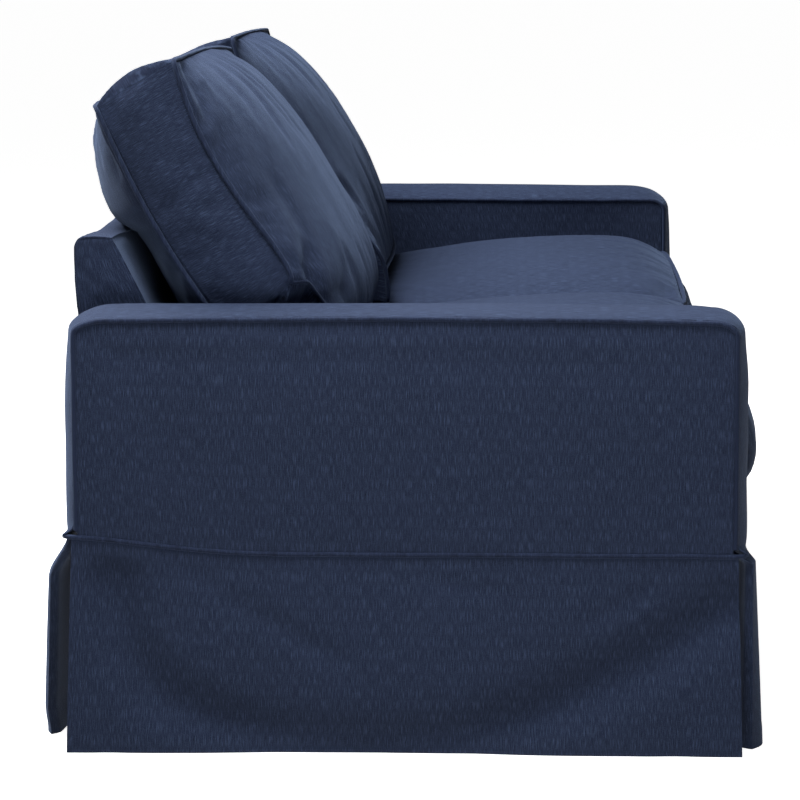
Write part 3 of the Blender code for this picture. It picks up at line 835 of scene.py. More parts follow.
def sew_seat_deck():
    def surface(u, v):
        half = INNER_SEAM - PLAIN_SEAM
        y = lerp(ARM_FRONT + 0.001, rake_y(DECK) - PLAIN_SEAM, v)
        return lerp(-half, half, u), y, DECK

    def relief(u, v, x, y, z):
        return min(0.0, slack(1.0, 105, x / 0.13, y / 0.11)) * inside(u, v, 0.05)

    us = steps((0.0, 1.0, 90))
    vs = steps((0.0, 1.0, 34))
    sew_panel("seat_deck_panel", "seat_deck", surface, us, vs, relief=relief, seed=18)


def sew_front_border():
    """The strip between the seat deck and the skirt."""

    def surface(u, v):
        half = INNER_SEAM + CORD_SEAM - PLAIN_SEAM
        x = lerp(-half, half, u)
        z = lerp(WAIST + WAIST_SEAM, DECK - sewing().cloth - PLAIN_SEAM, v)
        kick = (1.0 - v) ** 2
        half_inside = INNER_SEAM - 2.0 * sewing().cord
        x = lerp(x, x * half_inside / half, v)
        return x, ARM_FRONT - 0.014 * kick, z

    def relief(u, v, x, y, z):
        foot = z - WAIST - WAIST_SEAM
        return 0.5 * puckers(110, x, foot, reach=0.01) - rolled_in(foot)

    us = steps((0.0, 1.0, 180))
    vs = seam_lines(0.026, 0.004, high=False)
    sew_panel("front_border_strip", "front_border", surface, us, vs, relief=relief, seed=19)


# ---- skirt
# The side skirt's soft troughs and small folds, as (y, z) points, a depth and a spread.
SKIRT_TROUGHS = (
    (
        (
            (0.405, 0.235), (0.390, 0.150), (0.352, 0.090), (0.275, 0.045),
            (0.180, 0.012), (0.046, -0.004), (-0.090, 0.012), (-0.195, 0.060),
            (-0.325, 0.125), (-0.455, 0.205),
        ),
        0.019,
        0.038,
    ),
)
SKIRT_FOLDS = (
    (((0.220, 0.205), (0.095, 0.135)), 0.0045, 0.018),
    (((0.30, 0.262), (0.24, 0.215)), 0.0018, 0.014),
    (((-0.262, 0.190), (-0.335, 0.235)), 0.0034, 0.016),
    (((-0.030, 0.245), (-0.135, 0.228)), 0.0024, 0.012),
    (((-0.43, 0.12), (-0.40, 0.04), (-0.38, 0.0)), 0.0020, 0.022),
    (((0.44, 0.12), (0.42, 0.04), (0.41, 0.0)), 0.0016, 0.020),
)


def hem_step(z):
    """The step in the cloth at the hem's stitching."""
    return -0.0006 * smooth((z - HEM) / 0.003)


def sew_side_skirt(label, side):
    front_top, front_hem = -0.462, -0.470
    rear_top, rear_hem = 0.462, 0.471

    def surface(u, v):
        u = u if side > 0 else 1.0 - u
        y = lerp(lerp(front_hem, rear_hem, u), lerp(front_top, rear_top, u), v)
        head = waist_z(HALF_LENGTH, y) - WAIST_SEAM
        z = lerp(0.0, head, v)
        flare = 0.014 * (1.0 - v) + 0.004 * math.sin(math.pi * v)
        shift = y if side < 0 else -0.8 * y
        drawn_in = trough((shift, z), SKIRT_TROUGHS) * smooth((head - z) / 0.05)
        drawn_in *= lerp(0.6, 1.0, smooth(z / 0.06))
        return side * (WAIST_SIDE + flare - drawn_in), y, z

    def relief(u, v, x, y, z):
        head = waist_z(HALF_LENGTH, y) - WAIST_SEAM - z
        shift = y if side < 0 else -0.8 * y
        fold = trough((shift, z), SKIRT_FOLDS) * smooth(head / 0.02)
        loose = slack(1.3, 120 + side, y / 0.14, z / 0.30) * smooth(head / 0.04)
        loose += 0.0006 * wander(122 + side, y / 0.035, 0.0) * smooth((0.05 - z) / 0.05)
        loose += hem_step(z) + 1.2 * puckers(124 + side, y, head)
        return loose - fold - rolled_in(head)

    us = steps((0.0, 1.0, 156))
    vs = seam_lines(SKIRT_HEIGHT, 0.0062, low=False)
    name, node = "skirt_side_" + label, "skirt_" + label
    sew_panel(name, node, surface, us, vs, held="hung", relief=relief, seed=21 + side)


FOLD_GAP = 0.009  # between the two layers where a skirt's end folds back
# Each end skirt's swell under the waist and the share of its height where that ends,
# its flare, how far its hem's ends stand in and turn in, and the length and depth of
# the layer that folds back behind each end.
FRONT_HANG = (0.0165, 0.05, 0.016, 0.025, 0.0195, 0.060, 0.016)
REAR_HANG = (0.024, 0.20, 0.026, 0.085, 0.012, 0.090, 0.010)


def sew_end_skirt(name, node, facing, waist_y, hang, seed):
    """The front or rear skirt, which turns round the corners as far as the slits.

    facing is -1 at the front and 1 at the rear. At each end the cloth folds back
    behind itself.
    """
    hip, hip_reach, flare, end_hem, turn_in, back_length, back_depth = hang
    back_share = 0.06

    def face(across, down):
        """x and the distance out of the waist at a share of the width, -1 to 1."""
        end = WAIST_SIDE - 0.006 - end_hem * down
        x = (math.sin(across * math.pi / 2) * 0.55 + across * 0.45) * end
        to_end = end - abs(x)
        turn = max(0.0, 1.0 - to_end / 0.050) ** 2
        away = smooth(to_end / 0.15)
        wave = 0.008 * down * math.sin(9.0 * x + 0.6) * away
        swell = hip * smooth(down / hip_reach) * lerp(1.0, 0.5, away)
        hem_curl = 0.006 * smooth((down - 0.85) / 0.15) if facing > 0 else 0.0
        return x, swell + flare * down + wave - hem_curl - turn * lerp(0.008, turn_in, down)

    def surface(u, v):
        u = u if facing < 0 else 1.0 - u
        down = 1.0 - v
        across = (2.0 * u - 1.0) / (1.0 - 2.0 * back_share)
        x, out = face(min(max(across, -1.0), 1.0), down)
        behind = nearer_end(u) / back_share
        if behind < 1.0:
            back = 1.0 - behind
            x -= math.copysign(back_length * back**1.5, x)
            out -= FOLD_GAP * smooth(back * 3.0) + back_depth * lerp(0.2, 1.0, down) * back
        head = waist_z(x, waist_y) - WAIST_SEAM
        return x, waist_y + facing * out, lerp(0.0, head, v)

    def relief(u, v, x, y, z):
        head = waist_z(x, waist_y) - WAIST_SEAM - z
        seen = smooth((nearer_end(u) - back_share) / 0.02)
        loose = slack(1.6, seed, x / 0.12, z / 0.35) * smooth(head / 0.05)
        loose += 0.0012 * wander(seed + 1, x / 0.035, 0.0) * smooth((0.06 - z) / 0.06)
        loose += hem_step(z) + puckers(seed + 2, x, head)
        return loose * seen - rolled_in(head, 0.6)

    low = steps((0.0, 0.5 * back_share, 8), (0.5 * back_share, back_share, 14))
    high = [1.0 - mark for mark in reversed(low)]
    us = low[:-1] + steps((back_share, 1.0 - back_share, 290)) + high[1:]
    vs = seam_lines(SKIRT_HEIGHT, 0.0080, low=False)
    sew_panel(name, node, surface, us, vs, held="hung", relief=relief, seed=seed)


def waist_ring():
    """The waist seam's line round the whole cover."""
    points = []
    turn_steps = 6
    turns = (
        (1, WAIST_FRONT, -90.0),
        (1, WAIST_REAR, 0.0),
        (-1, WAIST_REAR, 90.0),
        (-1, WAIST_FRONT, 180.0),
    )
    for side, edge_y, first in turns:
        centre_x = side * (WAIST_SIDE - WAIST_RADIUS)
        centre_y = edge_y - math.copysign(WAIST_RADIUS, edge_y)
        for step in range(turn_steps + 1):
            angle = math.radians(first + 90.0 * step / turn_steps)
            x = centre_x + WAIST_RADIUS * math.cos(angle)
            points.append((x, centre_y + WAIST_RADIUS * math.sin(angle)))
    return points


def sew_waist_welt():
    """The cord round the waist, which wanders a little, as sewn cord does."""
    ring = waist_ring()
    points = []
    for start, end in zip(ring, ring[1:] + ring[:1]):
        count = max(1, round(math.dist(start, end) / WAIST_STEP))
        for step in range(count):
            x = lerp(start[0], end[0], step / count)
            y = lerp(start[1], end[1], step / count)
            sway = 0.0009 * wander(130, x / 0.06, y / 0.06)
            sway += 0.0008 * wander(131, x / 0.3, y / 0.3)
            points.append((x, y, waist_z(x, y) + sway))
    sew_welt("waist_cord", "waist_welt", points, True, 133)


# ---- cushions
CUSHION_INNER = 0.013  # from x = 0 to a cushion's inner seam
CUSHION_OUTER = 0.912
SEAT_FRONT = -0.455
SEAT_REAR = 0.198
SEAT_UNDER = 0.3125
SEAT_EDGE_LIFT = 0.0085  # the underside's rise to its edges, where the cord is
SEAT_PEAK_Y = -0.310  # where the crown is highest
SEAT_PEAK = 0.565
# How far the top falls from there, over what distance and by what power.
SEAT_FALL_FRONT = (0.047, 0.145, 3)
SEAT_FALL_REAR = (0.044, 0.373, 2.5)
SEAT_SEAM_FRONT = 0.500
SEAT_SEAM_REAR = 0.486

BACK_FOOT = Vector((0.130, 0.606))  # y, z of the front bottom corner of the end boxing
BACK_TILT = math.radians(30.06)  # from upright
BACK_HEIGHT = 0.402
BACK_BOXING = 0.127
BACK_BOW_FRONT = 0.021  # how far the end boxing's seams bow to the rear
BACK_BOW_REAR = 0.012
BACK_TOP_SAG = 0.002  # how far the top front seam sags between the cushion's ends
BACK_FACE_LOW = -0.085  # the face's lowest place, up the cushion, and its highest
BACK_FACE_HIGH = 0.405
# The pulled-up outer corner: how far from the end it reaches, over what length it
# fades, and how high up the cushion it goes.
EAR_REACH, EAR_FADE, EAR_HEIGHT = 0.080, 0.046, 0.30
# Each back cushion's bulge and its profile (height of the fullest place, then a power
# above it and a reach and a power below it), the droop of its right end's top and that
# droop's power, the pull on its outer bottom front corner, its inner end's lean, how
# far that end's front seam runs on down to the seat and how far forward it comes there.
BACK_SHAPES = {
    "left": (0.072, (0.080, 4.5, 0.172, 5.0), 0.022, 3.0, 0.046, 0.0, 0.0, 0.0),
    "right": (0.073, (0.099, 4.0, 0.240, 1.8), 0.019, 1.6, 0.020, 0.008, 0.122, 0.045),
}
# The rear of a back cushion at its middle: it lies along the inside back, then
# spills over the top strip. Columns: row, distance up the cushion, distance behind.
BACK_REAR_ROWS = (
    (-1.00, -0.030, 0.185),
    (-0.75, 0.030, 0.206),
    (-0.50, 0.100, 0.205),
    (-0.25, 0.170, 0.202),
    (0.00, 0.2185, 0.1995),
    (0.25, 0.2393, 0.2330),
    (0.50, 0.310, 0.213),
    (0.75, 0.365, 0.195),
    (1.00, 0.405, 0.148),
)
# Each kind of cushion's size across, along its face and through.
SEAT_SIZES = (CUSHION_OUTER - CUSHION_INNER, SEAT_REAR - SEAT_FRONT, 0.18)
BACK_SIZES = (CUSHION_OUTER - CUSHION_INNER, BACK_HEIGHT, BACK_BOXING)
COVER_GRID = 0.0105  # size of a face of a finished cushion


def pillow(amount):
    """The share of a bulge at this place between two seams at -1 and 1."""
    return 1.0 - abs(amount) ** 3


def even(amount):
    """The grid parameter that lies at this share of an axis, from -1 to 1."""
    return math.asin(min(max(amount, -1.0), 1.0)) * 2.0 / math.pi


def cushion_x(side, a, b, c):
    """Across the cushion: the outer end is a = side."""
    middle = side * (CUSHION_INNER + CUSHION_OUTER) / 2
    half = SEAT_SIZES[0] / 2
    spread = 1.0 - 0.012 * abs(b) ** 8
    bulge = 0.009 * (1.0 - c * c) * (1.0 - b**4) if abs(a) == 1.0 else 0.0
    return middle + math.sin(a * math.pi / 2) * half * spread + math.copysign(bulge, a)


def seat_mid_z(y):
    """Height of a seat cushion's top along its middle."""
    fall, run, power = SEAT_FALL_FRONT if y < SEAT_PEAK_Y else SEAT_FALL_REAR
    return SEAT_PEAK - fall * (abs(y - SEAT_PEAK_Y) / run) ** power


def seat_point(side, crown, boxing, set_back, a, b, c):
    """A point of a seat cushion: a across, b from front to rear, c from bottom to top."""
    across = pillow(math.sin(a * math.pi / 2))
    draw = 0.010 * abs(a) ** 8
    reach = math.sin(b * math.pi / 2)
    y = lerp(SEAT_FRONT + set_back + draw, SEAT_REAR - draw, (reach + 1.0) / 2)
    seam = lerp(SEAT_SEAM_FRONT, SEAT_SEAM_REAR, (reach + 1.0) / 2)
    top = seam + (seat_mid_z(y) - seam) * across * crown
    under = SEAT_UNDER + SEAT_EDGE_LIFT * (1.0 - across * pillow(reach))
    z = lerp(under, top, (c + 1.0) / 2)
    if b == -1.0:
        y -= boxing * (1.0 - c * c) * (1.0 - 0.45 * c) * (1.0 - 0.75 * abs(a) ** 5)
    if b == 1.0:
        y += 0.009 * (1.0 - c * c)
    return cushion_x(side, a, b, c), y, z


def rear_row(b):
    """Distance up and behind for the rear of a back cushion at its middle."""
    for low, high in zip(BACK_REAR_ROWS, BACK_REAR_ROWS[1:]):
        if b <= high[0]:
            amount = (b - low[0]) / (high[0] - low[0])
            return lerp(low[1], high[1], amount), lerp(low[2], high[2], amount)
    return BACK_REAR_ROWS[-1][1:]


def front_row(b, bulge, profile):
    """Distance up and in front for the face of a back cushion at its middle."""
    fullest, above_power, below_reach, below_power = profile
    spread = (math.sin(b * math.pi / 2) * 0.5 + b * 0.5 + 1.0) / 2
    up = lerp(BACK_FACE_LOW, BACK_HEIGHT, spread)
    above = up - fullest
    if above > 0.0:
        fall = (above / (BACK_FACE_HIGH - fullest)) ** above_power
    else:
        fall = (-above / below_reach) ** below_power
    return up, bulge * (1.0 - fall)


def back_point(side, shape, a, b, c):
    """A point of a back cushion: a across, b from bottom to top, c from rear to front."""
    bulge, profile, droop, droop_power, ear, lean, inner_drop, inner_reach = shape
    end = math.sin(a * math.pi / 2)
    across = pillow(end)
    inner = ((1.0 - side * end) / 2) ** 2
    rise = (b + 1.0) / 2
    mid_up, mid_out = front_row(b, bulge, profile)
    end_up = lerp(-inner_drop * inner, BACK_HEIGHT, rise)
    belly = math.sin(math.pi * min(1.0, (rise + 0.035) / 0.40))
    end_out = (inner_reach * belly + lean * rise) * inner
    end_out -= BACK_BOW_FRONT * math.sin(math.pi * rise**1.5)
    front_up = lerp(end_up, mid_up, across)
    front_out = lerp(end_out, mid_out, across)
    mid_up, mid_behind = rear_row(b)
    rear_up = lerp(lerp(0.012, BACK_HEIGHT - 0.002, rise), mid_up, across)
    bow = BACK_BOW_REAR * math.sin(math.pi * rise)
    rear_out = -lerp(BACK_BOXING + bow, mid_behind, across)
    forward = (c + 1.0) / 2
    up = lerp(rear_up, front_up, forward)
    out = lerp(rear_out, front_out, forward)
    if b == -1.0:
        up -= lerp(0.019, 0.010, across) * (1.0 - c * c)
    if b == 1.0:
        up += lerp(0.0165, 0.006, across) * (1.0 - c * c)
    sag = BACK_TOP_SAG * across * forward
    up -= (droop * ((end + 1.0) / 2) ** droop_power + sag + 0.8 * lean * inner) * rise**4
    from_end = (1.0 - side * end) * BACK_SIZES[0] / 2
    low = forward * max(0.0, 1.0 - rise / EAR_HEIGHT) ** 2
    up += ear * low * smooth((EAR_REACH - from_end) / EAR_FADE) * (1.0 + 3.5 * from_end)
    out -= 0.3 * ear * low * max(0.0, 1.0 - from_end / 0.020)
    along = Vector((math.sin(BACK_TILT), math.cos(BACK_TILT)))
    ahead = Vector((-math.cos(BACK_TILT), math.sin(BACK_TILT)))
    y, z = BACK_FOOT + along * up + ahead * out
    return cushion_x(side, a, b, c), y, z


def cushion_lines(sizes, pitch, close):
    """Each axis's grid lines from -1 to 1, evenly spread or close beside the seams."""
    runs = [seam_lines(size, pitch, low=close, high=close) for size in sizes]
    return [[2.0 * mark - 1.0 for mark in marks] for marks in runs]


def cushion_box(name, lines, point):
    """A box cut along the lines of each axis and laid on point(a, b, c).

    Gives the piece, its points' keys, which are their shares of each axis from -1 to
    1, and their places.
    """
    deselect_all()
    bpy.ops.mesh.primitive_cube_add(size=2.0)
    piece = bpy.context.object
    piece.name = piece.data.name = name
    bpy.ops.object.mode_set(mode="EDIT")
    bpy.ops.mesh.select_mode(type="EDGE")
    for axis, marks in enumerate(lines):
        bpy.ops.mesh.select_all(action="DESELECT")
        shape = bmesh.from_edit_mesh(piece.data)
        for edge in shape.edges:
            if abs(edge.verts[0].co[axis] - edge.verts[1].co[axis]) > 1.0:
                edge.select_set(True)
        bmesh.update_edit_mesh(piece.data)
        bpy.ops.mesh.subdivide(number_cuts=len(marks) - 2)
    bpy.ops.object.mode_set(mode="OBJECT")
    shares = (read_rows(piece.data.vertices, "co", 3) + 1.0) / 2.0
    keys = np.empty_like(shares)
    for axis, marks in enumerate(lines):
        index = np.rint(shares[:, axis] * (len(marks) - 1)).astype(int)
        keys[:, axis] = np.array(marks)[index]
    places = np.array([point(*key) for key in keys.tolist()])
    lay_at(piece.data, places)
    return piece, keys, places


def weave_on_box(piece, keys, sizes, seed):
    """UV in metres. On the boxing the warp runs from face to face."""
    corners = read_rows(piece.data.loops, "vertex_index", 1, int).ravel()
    corner_keys = keys[corners].reshape(-1, 4, 3)
    spots = corner_keys * np.array(sizes) / 2.0
    weave = np.stack((spots[:, :, 0], spots[:, :, 1]), axis=2)
    for axis, other in ((1, 0), (0, 1)):
        on_side = np.all(np.abs(corner_keys[:, :, axis]) == 1.0, axis=1)
        weave[on_side] = spots[on_side][:, :, (other, 2)]
    weave += np.array((3.0 + 0.41 * seed, 3.0 + 0.29 * seed))
    piece.data.uv_layers.active.data.foreach_set("uv", weave.ravel())


SWELLING_ROUNDS = 30  # how widely the swelling is averaged before it is taken out


def neighbour_mean(values, edges, rounds):
    """The values smoothed over the mesh's edges, this many times."""
    count = np.bincount(edges.ravel(), minlength=len(values))[:, None]
    for _ in range(rounds):
        total = np.zeros_like(values)
        np.add.at(total, edges[:, 0], values[edges[:, 1]])
        np.add.at(total, edges[:, 1], values[edges[:, 0]])
        values = 0.5 * values + 0.5 * total / count
    return values


# How the cover's cloth behaves while it is filled.
COVER_CLOTH = {
    "quality": 4,
    "mass": 0.3,
    "tension_stiffness": 15.0,
    "compression_stiffness": 15.0,
    "shear_stiffness": 4.0,
    "bending_stiffness": 0.2,
}


def simulated_creases(label, sizes, point):
    """How a cover with spare cloth creases over its filling.

    A coarser copy of the cushion is held at its seams and filled. Its swelling is
    taken out again, and what is left are the creases, as a field over the box's grid.
    """
    filling = bpy.context.scene.cushion_filling
    lines = cushion_lines(sizes, filling.pitch, close=False)
    piece, keys, rest = cushion_box("filling_trial_" + label, lines, point)
    on_face = np.abs(keys[:, 2]) == 1.0
    on_rim = np.max(np.abs(keys[:, :2]), axis=1) == 1.0
    held = piece.vertex_groups.new(name="seams")
    held.add(np.flatnonzero(on_face & on_rim).tolist(), 1.0, "REPLACE")
    cloth = piece.modifiers.new("Filling", "CLOTH")
    settings = cloth.settings
    for key, value in COVER_CLOTH.items():
        setattr(settings, key, value)
    settings.use_pressure = True
    settings.uniform_pressure_force = filling.pressure
    settings.vertex_group_mass = "seams"
    settings.shrink_min = -filling.spare
    settings.effector_weights.gravity = 0.0
    cloth.collision_settings.use_collision = False
    cloth.point_cache.frame_start = 1
    cloth.point_cache.frame_end = filling.frames
    scene = bpy.context.scene
    for number in range(1, filling.frames + 1):
        scene.frame_set(number)
    filled = piece.evaluated_get(bpy.context.evaluated_depsgraph_get()).to_mesh()
    moved = read_rows(filled.vertices, "co", 3) - rest
    edges = read_rows(piece.data.edges, "vertices", 2, int)
    creases = moved - neighbour_mean(moved, edges, SWELLING_ROUNDS)
    size = np.linalg.norm(creases, axis=1, keepdims=True)
    creases *= np.minimum(1.0, filling.most / np.maximum(size, 1e-9))
    scene.frame_set(1)
    bpy.data.objects.remove(piece, do_unlink=True)
    counts = [len(marks) for marks in lines]
    field = np.zeros((*counts, 3))
    index = np.rint((keys + 1.0) / 2.0 * (np.array(counts) - 1)).astype(int)
    field[index[:, 0], index[:, 1], index[:, 2]] = creases
    return field


def read_field(field, keys):
    """The field's values between its grid points, at keys from -1 to 1."""
    top = np.array(field.shape[:3]) - 1
    spots = (keys + 1.0) / 2.0 * top
    low = np.minimum(spots.astype(int), top - 1)
    part = spots - low
    total = np.zeros((len(keys), 3))
    for corner in itertools.product((0, 1), repeat=3):
        weight = np.prod(np.where(np.array(corner) == 1, part, 1.0 - part), axis=1)
        spot = low + np.array(corner)
        total += weight[:, None] * field[spot[:, 0], spot[:, 1], spot[:, 2]]
    return total


def seam_distances(keys, sizes):
    """How far each point lies from the nearest seam, in metres."""
    room = (1.0 - np.abs(keys)) * np.array(sizes) / 2.0
    on_face = np.abs(keys[:, 2]) == 1.0
    return np.where(on_face, np.minimum(room[:, 0], room[:, 1]), room[:, 2])


def sew_cushion(name, node, sizes, point, relief, seed):
    """A filled cushion with its creases, rolled seams and listed folds."""
    lines = cushion_lines(sizes, COVER_GRID, close=True)
    piece, keys, places = cushion_box(name, lines, point)
    places = places + read_field(simulated_creases(name, sizes, point), keys)
    lay_at(piece.data, places)
    normals = read_rows(piece.data.vertices, "normal", 3)
    distance = seam_distances(keys, sizes)
    lift = 0.0024 * np.exp(-distance / 0.030)
    rolls = np.array([rolled_in(value, 1.2) for value in distance])
    spots = keys * np.array(sizes) / 2.0
    extra = np.array([relief(*key, *spot) for key, spot in zip(keys.tolist(), spots.tolist())])
    height = lift - 0.8 * rolls + extra * np.minimum(1.0, distance / 0.012)
    lay_at(piece.data, places + normals * height[:, None])
    weave_on_box(piece, keys, sizes, seed)
    make_only_active(piece)
    bpy.ops.object.shade_smooth()
    dress(piece, node, bpy.data.materials["slub_cloth"])


def seam_ring(sizes, c):
    """Keys round one of a cushion's two seams."""
    across = round(sizes[0] / WELT_STEP)
    deep = round(sizes[1] / WELT_STEP)
    ring = [(-1.0 + 2.0 * i / across, -1.0) for i in range(across)]
    ring += [(1.0, -1.0 + 2.0 * i / deep) for i in range(deep)]
    ring += [(1.0 - 2.0 * i / across, 1.0) for i in range(across)]
    ring += [(-1.0, 1.0 - 2.0 * i / deep) for i in range(deep)]
    return [(a, b, c) for a, b in ring]


def sew_cushion_welt(name, node, sizes, point, c, seed):
    """A cord just outside the seam, on the bisector of face and boxing."""
    near = 0.97
    points = []
    walked = 0.0
    for a, b, c in seam_ring(sizes, c):
        place = Vector(point(a, b, c))
        inner_a = a * near if abs(a) == 1.0 else a
        inner_b = b * near if abs(b) == 1.0 else b
        into_face = (Vector(point(inner_a, inner_b, c)) - place).normalized()
        down_side = (Vector(point(a, b, c * near)) - place).normalized()
        out = -(into_face + down_side).normalized()
        walked += WELT_STEP
        sway = 0.0007 * wander(seed, walked / 0.06)
        points.append(place + out * (0.0014 + sway) + down_side * sway)
    sew_welt(name, node, points, True, seed)


# Folds on the seat cushions, as (from the outer end, from the front) points.
SEAT_FOLDS = (
    (((0.02, 0.05), (0.10, 0.10)), 0.0030, 0.012),
    (((0.01, 0.30), (0.12, 0.33)), 0.0020, 0.014),
    (((0.88, 0.06), (0.80, 0.12)), 0.0030, 0.012),
    (((0.30, 0.01), (0.33, 0.11)), 0.0022, 0.013),
    (((0.55, 0.01), (0.54, 0.09)), 0.0020, 0.012),
    (((0.20, 0.62), (0.24, 0.50)), 0.0024, 0.015),
)
# The same on the back cushions' faces, as (from the outer end, up the face) points.
BACK_FOLDS = (
    (((0.043, 0.035), (0.052, 0.075), (0.070, 0.105)), 0.0100, 0.013),
    (((0.060, 0.012), (0.092, 0.045), (0.124, 0.050), (0.165, 0.085)), 0.0055, 0.013),
    (((0.075, 0.105), (0.092, 0.140), (0.098, 0.200)), 0.0035, 0.014),
    (((0.015, 0.120), (0.030, 0.190)), 0.0016, 0.010),
    (((0.88, 0.03), (0.83, 0.10)), 0.0040, 0.014),
    (((0.03, 0.375), (0.09, 0.33)), 0.0024, 0.011),
    (((0.87, 0.37), (0.82, 0.32)), 0.0024, 0.012),
)


def seat_relief(side):
    sizes = SEAT_SIZES

    def relief(a, b, c, across, deep, high):
        if c == 1.0:
            spot = (sizes[0] / 2 - side * across, deep + sizes[1] / 2)
            gathers = 0.0012 * wander(150 + side, across / 0.030, deep / 0.30)
            return gathers - trough(spot, SEAT_FOLDS)
        if c == -1.0:
            return 0.0
        return 0.0012 * wander(153 + side, (across + deep) / 0.05, high / 0.10)

    return relief


def back_relief(side):
    sizes = BACK_SIZES

    def relief(a, b, c, across, up, deep):
        if c == 1.0:
            from_top = sizes[1] / 2 - up
            spot = (sizes[0] / 2 - side * across, up + sizes[1] / 2)
            gathers = 0.0024 * math.exp(-from_top / 0.16)
            gathers *= wander(160 + side, across / 0.022, up / 0.25)
            soft = 0.0020 * wander(163 + side, across / 0.075, up / 0.30)
            return gathers + soft - trough(spot, BACK_FOLDS)
        if c == -1.0:
            return 0.0008 * wander(165 + side, across / 0.05, up / 0.12)
        return 0.0010 * wander(168 + side, (across + up) / 0.06, deep / 0.10)

    return relief


def sew_welts_round(kind, label, seams, point, sizes, seed):
    """The two welts of a cushion. seams is the name and the face of each."""
    for edge, c in seams.items():
        name, node = f"{kind}_cord_{edge}_{label}", f"{kind}_welt_{edge}_{label}"
        sew_cushion_welt(name, node, sizes, point, c, seed)


def sew_seat_cushion(label, side, crown, boxing, set_back):
    """crown scales the top's rise, boxing is the front's bulge, and set_back its place."""

    def point(a, b, c):
        return seat_point(side, crown, boxing, set_back, even(a), even(b), c)

    name, node = "seat_pad_" + label, "seat_cushion_" + label
    sew_cushion(name, node, SEAT_SIZES, point, seat_relief(side), 30 + side)
    sew_welts_round("seat", label, {"top": 1.0, "bottom": -1.0}, point, SEAT_SIZES, 170 + side)


def sew_back_cushion(label, side):
    def point(a, b, c):
        return back_point(side, BACK_SHAPES[label], even(a), b, c)

    name, node = "back_pad_" + label, "back_cushion_" + label
    sew_cushion(name, node, BACK_SIZES, point, back_relief(side), 40 + side)
    sew_welts_round("back", label, {"front": 1.0, "rear": -1.0}, point, BACK_SIZES, 180 + side)


# ---- cloth finish
def node_of(tree, kind, label, **values):
    """A shader node with its inputs set by name."""
    node = tree.nodes.new(kind)
    node.label = label
    for key, value in values.items():
        name = key.replace("_", " ")
        if name in node.inputs:
            node.inputs[name].default_value = value
        else:
            setattr(node, key, value)
    return node


def streaks(tree, weave, label, width, length, shift, detail=2.0):
    """Noise drawn out along the warp, from 0 to 1."""
    frame_map = node_of(tree, "ShaderNodeMapping", label + " grain")
    frame_map.inputs["Scale"].default_value = (1.0 / width, 1.0 / length, 1.0)
    frame_map.inputs["Location"].default_value = (shift, shift * 0.7, shift * 1.3)
    tree.links.new(weave, frame_map.inputs["Vector"])
    cloud = node_of(
        tree, "ShaderNodeTexNoise", label, Scale=1.0, Detail=detail, Roughness=0.6
    )
    tree.links.new(frame_map.outputs["Vector"], cloud.inputs["Vector"])
    return cloud.outputs["Fac"]


def stepped(tree, value, low, high, label):
    """The value's rise from low to high, as a smooth step from 0 to 1."""
    node = node_of(tree, "ShaderNodeMapRange", label, interpolation_type="SMOOTHSTEP")
    node.inputs["From Min"].default_value = low
    node.inputs["From Max"].default_value = high
    tree.links.new(value, node.inputs["Value"])
    return node.outputs["Result"]


def blended(tree, amount, first, second, label, share):
    """Two colours mixed by amount, whose full effect is share."""
    node = tree.nodes.new("ShaderNodeMix")
    node.data_type = "RGBA"
    node.label = label
    scaled = node_of(tree, "ShaderNodeMath", label + " share", operation="MULTIPLY")
    scaled.inputs[1].default_value = share
    tree.links.new(amount, scaled.inputs[0])
    tree.links.new(scaled.outputs[0], node.inputs["Factor"])
    for socket, colour in (("A", first), ("B", second)):
        target = next(s for s in node.inputs if s.name == socket and s.type == "RGBA")
        if isinstance(colour, bpy.types.NodeSocket):
            tree.links.new(colour, target)
        else:
            target.default_value = (*colour, 1.0)
    return next(s for s in node.outputs if s.type == "RGBA")


def new_cloth(name):
    material = bpy.data.materials.new(name)
    material.use_nodes = True
    return material.node_tree


def finish_cloth(tree, colours, base, layers, height, strength, distance):
    """Lays the layers of colour over the base and gives the cloth its relief and shine.

    A layer is a value, where it starts and is full, its colour, its label and its share.
    """
    for value, low, high, colour, label, share in layers:
        amount = stepped(tree, value, low, high, label + " step")
        base = blended(tree, amount, base, colour, label + " mix", share)
    shader = tree.nodes["Principled BSDF"]
    tree.links.new(base, shader.inputs["Base Color"])
    bump = node_of(
        tree, "ShaderNodeBump", "thread relief", Strength=strength, Distance=distance
    )
    tree.links.new(height, bump.inputs["Height"])
    tree.links.new(bump.outputs["Normal"], shader.inputs["Normal"])
    shader.inputs["Roughness"].default_value = 0.88
    shader.inputs["Specular IOR Level"].default_value = 0.1
    shader.inputs["Sheen Weight"].default_value = colours.sheen
    shader.inputs["Sheen Roughness"].default_value = 0.45
    shader.inputs["Sheen Tint"].default_value = (0.45, 0.62, 1.0, 1.0)


